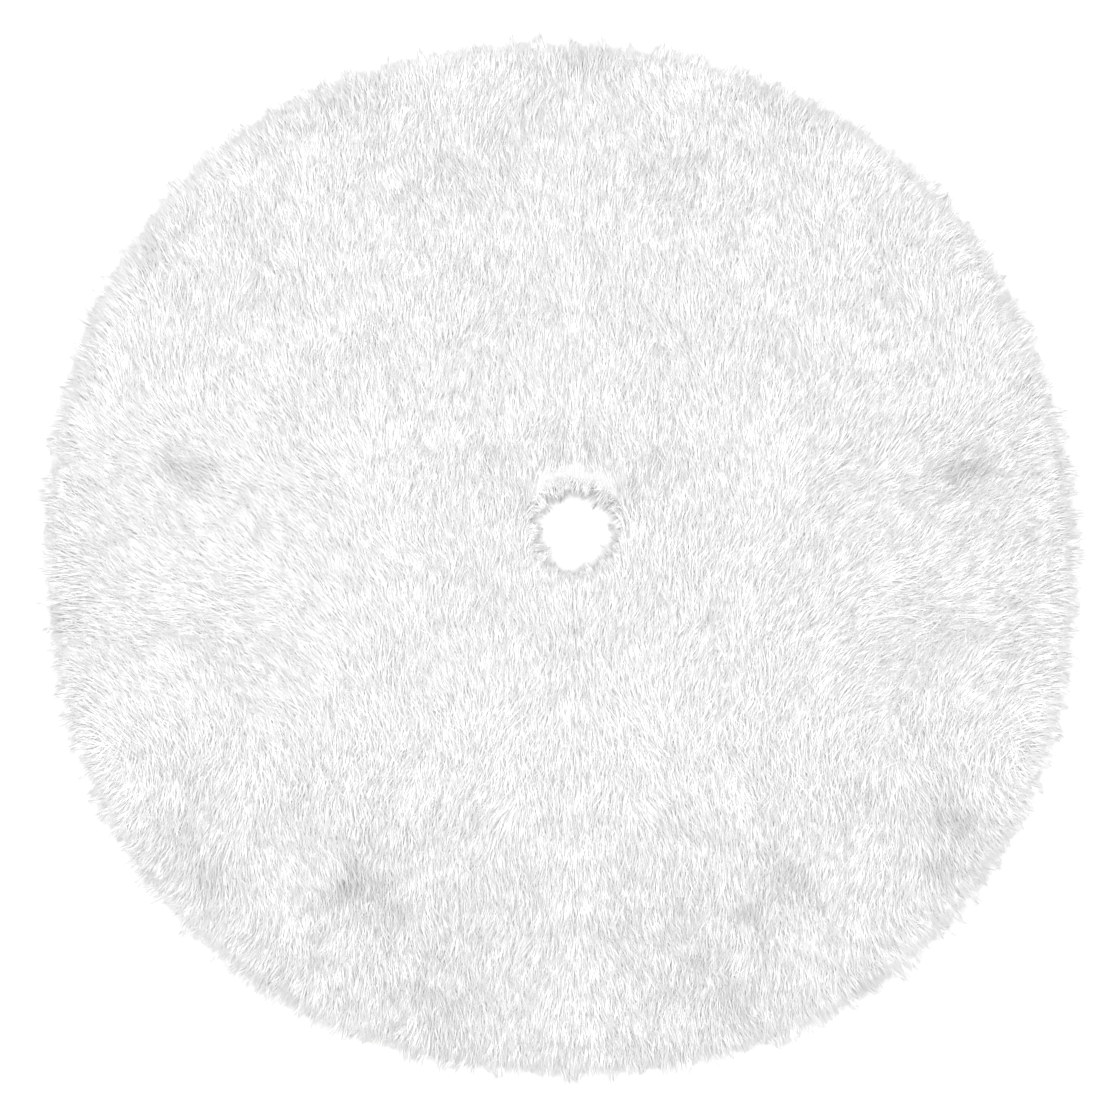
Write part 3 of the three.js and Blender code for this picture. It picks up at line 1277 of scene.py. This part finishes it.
        # Each tuft gathers the hairs of a short run of the edge into one spike.
        run = angle * np.where(at_rim, plan.half_width, plan.hole_radius)
        cell = np.floor(run / self.spike).astype(int)
        tuft = draw.random((int(math.tau * plan.half_width / self.spike) + 2, 4))[cell]
        aside = (cell + 0.5 + 0.4 * (tuft[:, 3] - 0.5)) * self.spike - run
        out = np.where(at_rim, 1.0, -1.0)
        turn = np.arctan2(out * np.cos(angle), out * np.sin(angle))
        swing = math.radians(self.spike_swing) * (2 * tuft[:, 0] - 1)
        turn += swing + math.radians(self.spike_stray) * draw.normal(0, 1, count)
        inner = ease((depth - self.tidy_collar) / self.tidy_collar)
        astray = math.radians(self.collar_stray) * draw.uniform(-1, 1, count) * inner
        turn += np.where(at_rim, 0.0, astray)
        way = np.stack([np.sin(turn), np.cos(turn)], 1)
        past = (23 * tuft[:, 1] + 1.5 * draw.uniform(-1, 1, count) - 1) * MM
        past += 2.5 * MM * Hills(16 * MM, 33).at(x, y)
        length = np.clip(room + past, 8 * MM, kind.length)
        base = self.underfur.heights(Side.LEFT, x, y)[0] - 1 * MM
        tip = kind.height * draw.uniform(0.6, 1.1, count)
        rise, sink = self.arc(tip - base)
        lie = np.column_stack([way * length[:, None], rise])
        lie /= np.linalg.norm(lie, axis=1)[:, None]
        aside *= 0.9
        bend = np.column_stack([-np.sin(angle) * aside, np.cos(angle) * aside, sink])
        radius = kind.radius * draw.uniform(0.7, 1.2, count)
        by = self.tones
        # The fringe hairs are painted darker, as painted shade on the spikes over the rim and the
        # hole; each tuft adds a random tone.
        tone = np.where(at_rim, by.fringe_rim_shade, by.fringe_hole_shade) + by.fringe_tuft * tuft[:, 2]
        tone = tone + by.fringe_hair * draw.normal(0, 1, count)
        size = np.column_stack([radius, radius, length])
        points, roll = np.column_stack([x, y, base]), draw.uniform(0, math.tau, count)
        return {"points": points, "lie": lie, "bend": bend, "size": size,
                "tone": np.clip(tone, by.least, by.most), "roll": roll}

    def build(self, tree: HairTree) -> Pieces:
        """Grows the pile of both halves, and of the strip over the back seam.

        Args:
            tree: the node tree that grows hairs.

        Returns:
            The pieces by name.
        """
        parts: dict[str, list[Object]] = {}
        cuts: dict[Side, Array] = {}
        grown = [(kind, self.roots(kind)) for kind in self.hairs]
        grown.append((self.fringe_hair, self.fringe(self.fringe_hair)))
        for kind, roots in grown:
            x, y = roots["points"][:, 0] - self.plan.seam, roots["points"][:, 1]
            over_seam = (np.abs(x) < self.plan.strip) & (y > self.plan.hole_y)
            places = {"back_seam_pile": over_seam}
            for side in Side:
                own = (x * side.sign > 0) & ~over_seam
                angle = np.arctan2(y - self.plan.hole_y, x * side.sign)
                if side not in cuts:
                    steps = np.linspace(0, 1, self.sectors + 1)[1:-1]
                    cuts[side] = np.quantile(angle[own], steps)
                sector = np.digitize(angle, cuts[side])
                for i in range(self.sectors):
                    places[side.named(f"pile_{i + 1}")] = own & (sector == i)
            for name, here in places.items():
                picked = {key: value[here] for key, value in roots.items()}
                points = picked.pop("points")
                part = tree.run(f"{name}_{kind.seed}", points, picked, Rings=kind.rings)
                parts.setdefault(name, []).append(part)
        return {name: joined(name, pieces) for name, pieces in parts.items()}


def joined(name: str, pieces: list[Object]) -> Object:
    """Joins pieces into one object.

    Args:
        name: the new object's name.
        pieces: the pieces, which are used up.

    Returns:
        The object.
    """
    with bpy.context.temp_override(
        active_object=pieces[0], object=pieces[0], selected_editable_objects=pieces,
        selected_objects=pieces,
    ):
        bpy.ops.object.join()
    pieces[0].name = name
    pieces[0].data.name = name
    return pieces[0]


# ===== The cloth layers =====


@dataclass(frozen=True)
class Layer:
    """One layer of the skirt, from low to high, cut back from the laid edge and the hole."""

    plan: Plan
    low: float
    high: float
    inset: float
    hole_extra: float
    rows: int = 110
    columns: int = 16
    hills: float = 0.0  # how far its top rises and falls
    round_edge: float = 0.0  # how far in from its edges its top comes up to full height
    level_top: bool = False  # whether the top stays level where the margin lifts
    edge_share: float = 0.3  # of its height, that a rounded edge starts with
    least: float = 1 * MM  # the shortest row, at each end

    def heights(self, side: Side, x: Array, y: Array) -> tuple[Array, Array]:
        """The top and the bottom of the layer over points of the plan.

        Args:
            side: the half.
            x: the points' X.
            y: the points' Y.

        Returns:
            The heights of the top and of the bottom.
        """
        plan = self.plan
        rise = plan.rise(side, x, y)
        top = np.full_like(x, self.high) + (0 if self.level_top else rise)
        if self.hills:
            top = top + self.hills * Hills(26 * MM, 51).at(np.abs(x - plan.seam), y)
        if self.round_edge:
            rim = np.minimum(plan.to_rim(x, y) - self.inset, plan.to_hole(x, y) - self.hole_extra)
            up = np.clip(rim / self.round_edge, 0, 1)
            rounding = self.edge_share + (1 - self.edge_share) * np.sqrt(1 - (1 - up) ** 2)
            top = self.low + rise + (top - self.low - rise) * rounding
        return top, self.low + rise

    def cover(self, name: str, side: Side, x: Array, y: Array) -> Object:
        """Builds the layer over a grid of the plan.

        Args:
            name: the piece's name.
            side: the half whose heights count.
            x: the grid's X, as rows by columns.
            y: the grid's Y, laid out in the same way.

        Returns:
            The closed piece.
        """
        top, bottom = (np.stack([x, y, z], 2) for z in self.heights(side, x, y))
        return shell(name, top, bottom)

    def half(self, name: str, side: Side) -> Object:
        """Builds the layer on one half.

        Args:
            name: the piece's name.
            side: the half.

        Returns:
            The closed piece.
        """
        plan = self.plan
        front = plan.last_turn(side, self.inset, plan.gap + self.least, back=False)
        back = plan.last_turn(side, self.inset, plan.strip + self.least, back=True)
        edge_x, edge_y = plan.edge_point(side, np.linspace(front, back, self.rows), self.inset)
        radius = plan.hole_radius + self.hole_extra
        swing = np.linspace(-math.pi / 2, math.pi / 2, 27)
        y = np.unique(np.round(np.append(edge_y, plan.hole_y + radius * np.sin(swing)), 5))
        order = np.argsort(edge_y)
        outer = np.interp(y, edge_y[order], edge_x[order])
        hole = np.sqrt(np.maximum(radius**2 - (y - plan.hole_y) ** 2, 0.0))
        stop = np.where(y > plan.hole_y, plan.strip, plan.gap)
        inner = plan.seam + side.sign * np.maximum(hole, stop)
        span = np.abs(outer - inner)[:, None]
        # The first columns keep the places of the lifted margin's folds where there is room.
        folds = [0.0, plan.flat - plan.gap, plan.flat + plan.slope - plan.gap]
        others = folds[-1] + (span - folds[-1]) * np.linspace(0, 1, self.columns - 2)[1:]
        fixed = np.column_stack([np.full(len(y), f) for f in folds] + [others])
        at_slit = (y < plan.hole_y) & (hole == 0) & (span[:, 0] > 3 * folds[-1])
        use = (at_slit & (side is Side.RIGHT))[:, None]
        places = np.where(use, fixed, span * np.linspace(0, 1, self.columns))
        x = inner[:, None] + side.sign * places
        return self.cover(name, side, x, np.repeat(y[:, None], self.columns, 1))

    def across_seam(self, name: str) -> Object:
        """Builds the layer's strip over the back seam.

        Args:
            name: the piece's name.

        Returns:
            The closed piece.
        """
        x = self.plan.across_seam()
        start = self.plan.hole_y + self.plan.hole_near_seam(x, self.hole_extra)
        end = self.plan.edge_near_seam(x, self.inset, back=True)
        y = start + (end - start) * np.linspace(0, 1, self.rows)[:, None]
        return self.cover(name, Side.LEFT, np.repeat(x[None, :], self.rows, 0), y)


# ===== Tapes, stitches and the closing of the slit =====


class Edge(Enum):
    """The two edges that are bound with tape."""

    HEM = "hem"
    HOLE = "hole"


@dataclass(frozen=True)
class Binding:
    """Tape folded round an edge: a wide turning under the lining and a wall up the cut edges."""

    plan: Plan
    edge: Edge
    width: float
    top: float  # of the wall
    count: int  # points along each half
    inset: float = HEM_INSET
    thick: float = 0.9 * MM
    lift: float = 0.1 * MM  # room for the stitches below
    stitch_inset: float = 2.2 * MM  # of the stitches from the turning's inner edge

    def profile(self) -> list[tuple[float, float]]:
        """Draws the outline of the folded tape.

        Returns:
            How far each point is from the fold, and its height.
        """
        t, z, w, h = self.thick, self.lift, self.width, self.top
        return [
            (w, z), (w / 2, z), (t, z), (0.3 * t, z + 0.25 * t), (0.0, z + t), (0.0, h - 0.6 * t),
            (0.15 * t, h - 0.15 * t), (0.5 * t, h), (0.85 * t, h - 0.15 * t), (t, h - 0.6 * t),
            (t, z + 1.3 * t), (1.4 * t, t), (w / 2, t), (w - 0.1 * t, t),
            (w + 0.1 * t, (z + t) / 2),
        ]

    def line(self, side: Side | None, away: float, height: float) -> Array:
        """A line along the edge, on one half or on the strip over the back seam.

        Args:
            side: the half, or nothing for the strip.
            away: how far the line is from the fold.
            height: its height where the margin is not lifted.

        Returns:
            X, Y and Z of its points.
        """
        plan = self.plan
        inset, radius = self.inset + away, plan.hole_radius + away
        if side is None:
            x = plan.across_seam()
            if self.edge is Edge.HEM:
                y = plan.edge_near_seam(x, inset, back=True)
            else:
                y = plan.hole_y + plan.hole_near_seam(x, away)
            return np.column_stack([x, y, np.full_like(x, height)])
        if self.edge is Edge.HEM:
            front = plan.last_turn(side, inset, plan.gap, back=False)
            back = plan.last_turn(side, inset, plan.strip, back=True)
            x, y = plan.edge_point(side, np.linspace(front, back, self.count), inset)
        else:
            front, back = -math.acos(plan.gap / radius), math.acos(plan.strip / radius)
            turn = np.linspace(front, back, self.count)
            x = plan.seam + side.sign * radius * np.cos(turn)
            y = plan.hole_y + radius * np.sin(turn)
        return np.column_stack([x, y, height + plan.rise(side, x, y)])

    def build(self, side: Side | None) -> Object:
        """Builds the tape of one half, or its part across the back seam.

        Args:
            side: the half, or nothing for the part over the seam.

        Returns:
            The closed piece.
        """
        name = f"{self.edge.value}_binding"
        lines = [self.line(side, *point) for point in self.profile()]
        return tube(side.named(name) if side else f"back_seam_{name}", np.stack(lines, 1))


@dataclass(frozen=True)
class Strip:
    """A straight strip of tape or cloth beside the seam, between the hem and the hole tapes."""

    left: float
    right: float
    low: float
    high: float
    back: bool  # whether it lies behind the hole
    hem: float = 32.3 * MM  # its end, inside the laid edge
    hole: float = 16.3 * MM  # and its other end, from the hole
    columns: int = 12
    rows: int = 90

    def build(self, name: str, plan: Plan) -> Object:
        """Builds the strip.

        Args:
            name: the piece's name.
            plan: the skirt's plan.

        Returns:
            The closed piece.
        """
        x = self.left + (self.right - self.left) * spread(self.columns)
        ring = plan.hole_near_seam(x, self.hole)
        ends = [plan.hole_y + ring * (1 if self.back else -1),
                plan.edge_near_seam(x, self.hem, self.back)]
        start, end = ends if self.back else reversed(ends)
        y = start + (end - start) * spread(self.rows)[:, None]
        return slab(name, np.repeat(x[None, :], self.rows, 0), y, self.low, self.high)


@dataclass(frozen=True)
class Patch:
    """A small flat rectangle, such as a hook-and-loop patch or a label."""

    left: float
    right: float
    front: float
    back: float
    low: float
    high: float

    @classmethod
    def from_node(cls, node: str) -> "Patch":
        """Reads a patch's place and size from its node.

        Args:
            node: the node's name.

        Returns:
            The patch.
        """
        low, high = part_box(node)
        return cls(low.x, high.x, low.y, high.y, low.z, high.z)

    def build(self, name: str, low: float, high: float, ripple: float) -> Object:
        """Builds the patch between two heights.

        Args:
            name: the piece's name.
            low: the underside's height.
            high: the top's height.
            ripple: how far it rises and falls.

        Returns:
            The closed piece.
        """
        x = self.left + (self.right - self.left) * spread(14)
        y = self.front + (self.back - self.front) * spread(18)
        gy, gx = np.meshgrid(y, x, indexing="ij")
        return slab(name, gx, gy, low, high, ripple)

    def outline(self, inset: float) -> Array:
        """The corners of a line inside its edge, the first one again at the end.

        Args:
            inset: how far inside.

        Returns:
            X and Y of each corner.
        """
        left, right = self.left + inset, self.right - inset
        front, back = self.front + inset, self.back - inset
        return np.array([(left, front), (right, front), (right, back), (left, back), (left, front)])

    def grid(self, inset: float, spacing: float, seed: int) -> tuple[Array, Array]:
        """Points in rows over the patch, a little out of line.

        Args:
            inset: how far inside its edge.
            spacing: between the points.
            seed: of the small shifts.

        Returns:
            X and Y.
        """
        x = np.arange(self.left + inset, self.right - inset, spacing)
        y = np.arange(self.front + inset, self.back - inset, spacing)
        gy, gx = np.meshgrid(y, x, indexing="ij")
        shift = np.random.default_rng(seed).uniform(-0.2, 0.2, (2,) + gx.shape) * spacing
        return (gx + shift[0]).ravel(), (gy + shift[1]).ravel()


class Part(Enum):
    """The small parts that are repeated."""

    STITCH = "stitch"
    LOOP = "loop"
    HOOK = "hook"


class PartTree(PointTree):
    """The node tree that puts one small part on every point and turns it along its row."""

    def __init__(self, part: Part, material: bpy.types.Material) -> None:
        """Builds the tree.

        Args:
            part: what is repeated.
            material: its material.
        """
        super().__init__(f"repeat_{part.value}", {"Length": "Float", "Width": "Float"})
        shape = self._stitch() if part is Part.STITCH else self._arc(part)
        aligned = self.add(
            "FunctionNodeAlignRotationToVector", {"Vector": self.read("along")}, axis="X"
        )
        upright = self.add(
            "FunctionNodeAlignRotationToVector", {"Rotation": aligned, "Vector": self.read("up")},
            axis="Z", pivot_axis="X",
        )
        self.end(self.place(shape, upright), material)

    def _stitch(self) -> Socket:
        """Makes one stitch: a short bead of thread, sunk halfway into the cloth.

        Returns:
            The bead's geometry.
        """
        bead = self.add("GeometryNodeMeshUVSphere", {"Segments": 6, "Rings": 4, "Radius": 0.5})
        length, width = self.source["Length"], self.source["Width"]
        size = self.add("ShaderNodeCombineXYZ", {0: length, 1: width, 2: width})
        return self.add("GeometryNodeTransform", {"Geometry": bead, "Scale": size})

    def _arc(self, part: Part) -> Socket:
        """Makes one loop or hook: a bent filament that stands on the cloth.

        Args:
            part: the loop or the hook.

        Returns:
            The filament's geometry.
        """
        sweep = math.radians(180 if part is Part.LOOP else 235)
        bent = self.add(
            "GeometryNodeCurveArc",
            {"Resolution": 5, "Radius": self.source["Length"], "Start Angle": 0.0,
             "Sweep Angle": sweep},
        )
        thread = self.add(
            "GeometryNodeCurvePrimitiveCircle", {"Resolution": 4, "Radius": self.source["Width"]}
        )
        solid = self.add(
            "GeometryNodeCurveToMesh", {"Curve": bent, "Profile Curve": thread, "Fill Caps": True},
        )
        upright = (math.radians(90), 0.0, 0.0)
        return self.add("GeometryNodeTransform", {"Geometry": solid, "Rotation": upright})

    def repeat(
        self, name: str, points: Array, along: Array, up: Array, length: float, width: float
    ) -> Object:
        """Puts a part on every point.

        Args:
            name: the piece's name.
            points: where the parts are.
            along: which way each is turned.
            up: which way each stands.
            length: the part's length, or the radius of its bend.
            width: its width, or the radius of its filament.

        Returns:
            The parts as one plain object.
        """
        return self.run(name, points, {"along": along, "up": up}, Length=length, Width=width)


@dataclass
class Seams:
    """The rows of stitches, gathered for each group of pieces that moves together."""

    tree: PartTree
    spacing: float = 4.0 * MM
    length: float = 3.2 * MM
    width: float = 0.55 * MM
    rows: dict[str, list[tuple[Array, int]]] = field(default_factory=dict)

    def sew(self, group: str, line: Array, up: int) -> None:
        """Adds a row of stitches.

        Args:
            group: the pieces that the row moves with.
            line: the row's X, Y, Z.
            up: 1 on the top of the cloth and -1 on its underside.
        """
        self.rows.setdefault(group, []).append((line, up))

    def build(self) -> Pieces:
        """Builds every group's stitches as one piece.

        Returns:
            The pieces by group.
        """
        made = {}
        for group, rows in self.rows.items():
            points, along, up = [], [], []
            for line, facing in rows:
                steps = np.linalg.norm(np.diff(line, axis=0), axis=1)
                run = np.append(0, np.cumsum(steps))
                at = np.arange(self.spacing / 2, run[-1], self.spacing)
                place = [np.column_stack([np.interp(at + d, run, line[:, k]) for k in range(3)])
                         for d in (0.0, -0.5 * MM, 0.5 * MM)]
                points.append(place[0])
                along.append(place[2] - place[1])
                up.append(np.tile((0.0, 0.0, float(facing)), (len(at), 1)))
            made[group] = self.tree.repeat(
                f"{group}_stitches", np.concatenate(points), np.concatenate(along),
                np.concatenate(up), self.length, self.width,
            )
        return made


# ===== The studio =====


@dataclass(frozen=True)
class Studio:
    """A pale floor, soft light and a camera straight above."""

    view_width: float = 1.3026
    view_x: float = -5.9 * MM
    view_y: float = 4.7 * MM
    height: float = 3.5
    sensor: float = 36.0
    floor_size: float = 14.0
    bounces: int = 20
    world_strength: float = 1.7
    # Each lamp's name, place, side and power in watts.
    lamps: tuple[tuple[str, tuple[float, float, float], float, float], ...] = (
        ("overhead", (0.0, 0.0, 5.0), 4.5, 30.0), ("key", (-2.6, 2.2, 3.0), 2.0, 15.0),
    )

    def build(self) -> None:
        """Adds the floor, the lights and the camera."""
        scene = bpy.context.scene
        scene.view_settings.view_transform = "Standard"
        # Light passes from hair to hair many times in white fur.
        scene.cycles.max_bounces = self.bounces
        scene.cycles.diffuse_bounces = self.bounces
        camera = bpy.data.cameras.new("camera")
        camera.sensor_width = self.sensor
        camera.lens = self.sensor * self.height / self.view_width
        camera.clip_end = 100.0
        holder = bpy.data.objects.new("camera", camera)
        holder.location = (self.view_x, self.view_y, self.height)
        scene.collection.objects.link(holder)
        scene.camera = holder
        half = self.floor_size / 2
        corners = np.array([(-half, -half, 0), (half, -half, 0), (half, half, 0), (-half, half, 0)])
        floor = object_from("floor", corners - (0, 0, 0.3 * MM), [(0, 1, 2, 3)])
        paper, tree = surface("matt_backdrop_paper", Roughness=0.95, Specular_IOR_Level=0.1)
        place = add_node(tree, "ShaderNodeTexCoord").outputs["Object"]
        grain = add_node(tree, "ShaderNodeTexNoise", {"Vector": place, "Scale": 900.0})
        stops = [(0.2, "#e4e4e4"), (0.8, "#e6e6e6")]
        feed(tree, Base_Color=ramp(tree, grain.outputs["Fac"], stops))
        floor.data.materials.append(paper)
        for lamp in self.lamps:
            self._light(*lamp)
        world = bpy.data.worlds.new("room")
        world.use_nodes = True
        glow = world.node_tree.nodes["Background"].inputs
        glow["Color"].default_value = colour("#ffffff")
        glow["Strength"].default_value = self.world_strength
        scene.world = world

    def _light(
        self, name: str, place: tuple[float, float, float], size: float, power: float
    ) -> None:
        """Adds a square area light that faces the middle of the skirt.

        Args:
            name: the light's name.
            place: where it hangs.
            size: its side.
            power: in watts.
        """
        lamp = bpy.data.lights.new(name, "AREA")
        lamp.size = size
        lamp.energy = power
        holder = bpy.data.objects.new(name, lamp)
        holder.location = place
        holder.rotation_euler = Vector(place).to_track_quat("Z", "Y").to_euler()
        bpy.context.scene.collection.objects.link(holder)


# ===== The skirt =====


@dataclass(frozen=True)
class Skirt:
    """The whole skirt: its layers and pile on both halves and across the back seam."""

    plan: Plan
    finishes: Finishes
    fold_keep: float = 0.9  # how thick the pile stays when one half lies folded on the other
    underfur_high: float = 13 * MM

    def layer(self, node: str, inset: float, hole_extra: float) -> Layer:
        """Reads a cloth layer's heights from its node.

        Args:
            node: the node's name without its side.
            inset: how far the layer ends inside the laid edge.
            hole_extra: how far it ends from the hole's edge.

        Returns:
            The layer.
        """
        low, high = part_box(f"left_{node}")
        return Layer(self.plan, low.z, high.z, inset, hole_extra)

    def underfur(self) -> Layer:
        """The dense wool under the long pile, whose top stays level over the lifted margin.

        Returns:
            The layer.
        """
        return Layer(
            self.plan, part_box("left_fur_pile")[0].z, self.underfur_high, 12.2 * MM, 0.5 * MM,
            rows=120, columns=40, hills=1.2 * MM, round_edge=14 * MM, level_top=True,
        )

    def dress(self, piece: Object, material: bpy.types.Material) -> Object:
        """Gives a piece its material.

        Args:
            piece: the piece.
            material: its material.

        Returns:
            The same piece.
        """
        piece.data.materials.clear()
        piece.data.materials.append(material)
        return piece

    def over_seam(self, piece: Object) -> None:
        """Bakes the placement of a piece that lies across the back seam into its mesh.

        Args:
            piece: a finished piece that lies across the back seam.
        """
        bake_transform(piece)

    def build_cloth(self) -> Pieces:
        """Builds the lining, the ground cloth and the underfur.

        Returns:
            The pieces by name.
        """
        in_tape = 1.2 * MM  # the tape's thickness and its gap
        hem = HEM_INSET + in_tape
        layers = {
            "lining_cloth": (self.layer("lining", hem, in_tape), self.finishes.lining, "lining"),
            "ground_knit": (
                self.layer("ground_cloth", hem, in_tape), self.finishes.knit, "ground_cloth"
            ),
            "underfur": (self.underfur(), self.finishes.underfur, "fur"),
        }
        made = {}
        for name, (layer, material, slot) in layers.items():
            for side in Side:
                piece = layer.half(side.named(name), side)
                made[piece.name] = self.dress(piece, material)
                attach(piece, side.body)
            strip = layer.across_seam(f"back_seam_{name}")
            made[strip.name] = self.dress(strip, material)
            self.over_seam(strip)
        return made

    def build_pile(self) -> Pieces:
        """Grows the long pile of both halves and over the back seam.

        Returns:
            The pieces by name.
        """
        tree = HairTree(self.finishes.fur)
        pile = Pile(self.plan, self.underfur())
        made = pile.build(tree)
        for name, piece in made.items():
            if name.startswith("back"):
                self.over_seam(piece)
                continue
            side = Side.LEFT if name.startswith("left") else Side.RIGHT
            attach(piece, side.body)
            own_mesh(piece)
            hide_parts(side.named("fur_pile"))
        return made

    def build_bindings(self, seams: Seams) -> Pieces:
        """Builds the tapes folded over the hem and over the edge of the trunk hole.

        Args:
            seams: gathers the tapes' stitches.

        Returns:
            The pieces by name.
        """
        made = {}
        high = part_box("left_hem_tape")[1].z
        for binding in (
            Binding(self.plan, Edge.HEM, 20 * MM, high, 220),
            Binding(self.plan, Edge.HOLE, 16 * MM, high, 60),
        ):
            for side in (*Side, None):
                piece = binding.build(side)
                made[piece.name] = self.dress(piece, self.finishes.tape)
                if side:
                    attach(piece, side.body)
                    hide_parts(side.named(f"{binding.edge.value}_tape"))
                else:
                    self.over_seam(piece)
                row = binding.line(side, binding.width - binding.stitch_inset, binding.lift)
                seams.sew(side.body if side else "back_seam", row, -1)
        return made

    def build_strips(self, seams: Seams) -> Pieces:
        """Builds the back seam tape, the slit's underlap and its facing.

        Args:
            seams: gathers their stitches.

        Returns:
            The pieces by name.
        """
        made = {}
        for name, node, material, slot, back, rows in (
            ("back_seam_binding", "back_seam_tape", self.finishes.tape, "tape", True,
             ((2.2 * MM, -1), (-2.2 * MM, -1))),
            ("underlap_cloth", "slit_underlap", self.finishes.lining, "lining", False,
             ((2.5 * MM, -1), (17 * MM, -1), (-2.5 * MM, 1))),
            ("facing_tape", "slit_facing", self.finishes.tape, "tape", False,
             ((1.8 * MM, -1), (-1.8 * MM, -1))),
        ):
            low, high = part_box(node)
            piece = Strip(low.x, high.x, low.z, high.z, back).build(name, self.plan)
            side = Side.RIGHT if node == "slit_facing" else Side.LEFT
            made[name] = self.dress(piece, material)
            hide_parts(node)
            y = np.linspace(low.y + 8 * MM, high.y - 8 * MM, 60)
            for inset, up in rows:
                x = np.full_like(y, (low.x if inset > 0 else high.x) + inset)
                z = np.full_like(y, high.z if up > 0 else low.z + 0.1 * MM)
                seams.sew("back_seam" if back else side.body, np.column_stack([x, y, z]), up)
            if back:
                self.over_seam(piece)
            else:
                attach(piece, side.body)
        return made

    def build_patches(self, seams: Seams) -> Pieces:
        """Builds the hook-and-loop patches and the blank care label.

        Args:
            seams: gathers their stitches.

        Returns:
            The pieces by name.
        """
        made = {}
        loops = PartTree(Part.LOOP, self.finishes.loop)
        hooks = PartTree(Part.HOOK, self.finishes.hook)
        backing = 0.5 * MM
        for node in [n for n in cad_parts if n.startswith(("loop_patch", "hook_patch"))]:
            patch = Patch.from_node(node)
            if node.startswith("loop"):
                side, up, slot, tree, material = Side.LEFT, 1, "loop", loops, self.finishes.loop
                bend, thread, spacing = 0.42 * MM, 0.06 * MM, 1.25 * MM
                face = patch.low + backing
                ends = (patch.low, face)
            else:
                side, up, slot, tree, material = Side.RIGHT, -1, "hook", hooks, self.finishes.hook
                bend, thread, spacing = 0.38 * MM, 0.1 * MM, 1.35 * MM
                face = patch.high - backing
                ends = (face, patch.high)
            base = patch.build(f"{node}_base", *ends, 0.05 * MM)
            made[base.name] = self.dress(base, material)
            x, y = patch.grid(2.6 * MM, spacing, 70 + len(made))
            draw = np.random.default_rng(len(made))
            # Loops point every way, and hooks one way or the other.
            turn = draw.uniform(0, math.tau, len(x)) if up > 0 else (
                draw.choice([0, math.pi], len(x)))
            parts = tree.repeat(
                f"{node}_{slot}s", np.column_stack([x, y, np.full_like(x, face)]),
                np.column_stack([np.cos(turn), np.sin(turn), np.zeros_like(turn)]),
                np.tile((0.0, 0.0, float(up)), (len(x), 1)), bend, thread,
            )
            made[parts.name] = parts
            for piece in (base, parts):
                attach(piece, side.body)
            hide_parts(node)
            corners = patch.outline(1.3 * MM)
            seams.sew(side.body, np.column_stack([corners, np.full(len(corners), face)]), up)
        patch = Patch.from_node("care_label")
        label = patch.build("label_ribbon", patch.low, patch.high, 0.12 * MM)
        made[label.name] = self.dress(label, self.finishes.label)
        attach(label, Side.LEFT.body)
        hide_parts("care_label")
        x = np.full(2, patch.right - 1.5 * MM)
        ends = np.array([patch.front + 2 * MM, patch.back - 2 * MM])
        seams.sew(Side.LEFT.body, np.column_stack([x, ends, np.full(2, patch.low + 0.1 * MM)]), -1)
        return made

    def build_sewing(self) -> Pieces:
        """Builds the tapes, the closing of the slit, the label and all their stitches.

        Returns:
            The pieces by name.
        """
        seams = Seams(PartTree(Part.STITCH, self.finishes.thread))
        made = self.build_bindings(seams)
        made.update(self.build_strips(seams))
        made.update(self.build_patches(seams))
        for group, piece in seams.build().items():
            made[piece.name] = piece
            if group == "back_seam":
                self.over_seam(piece)
            else:
                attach(piece, group)
        return made

    def declare(self, cloth: Pieces) -> None:
        """Args:
            cloth: the cloth pieces by name.
        """
        for side, width, area in ((Side.LEFT, 0.607, 0.578), (Side.RIGHT, 0.573, 0.538)):
            ground, lining = cloth[side.named("ground_knit")], cloth[side.named("lining_cloth")]
            cloth[side.named("underfur")]
            side.named("hem_binding")
            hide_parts(side.named("ground_cloth"))
            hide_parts(side.named("lining"))


def main() -> None:
    """Builds the studio and the skirt."""
    logging.basicConfig(level=logging.INFO, format="%(message)s")
    Studio().build()
    plan = Plan.from_frame()
    skirt = Skirt(plan, Finishes.make())
    cloth = skirt.build_cloth()
    sewing = skirt.build_sewing()
    pile = skirt.build_pile()
    skirt.declare(cloth)
    for name, piece in {**cloth, **sewing, **pile}.items():
        piece.data.calc_loop_triangles()
        log.info("%s: %d triangles", name, len(piece.data.loop_triangles))


if __name__ == "__main__":
    main()
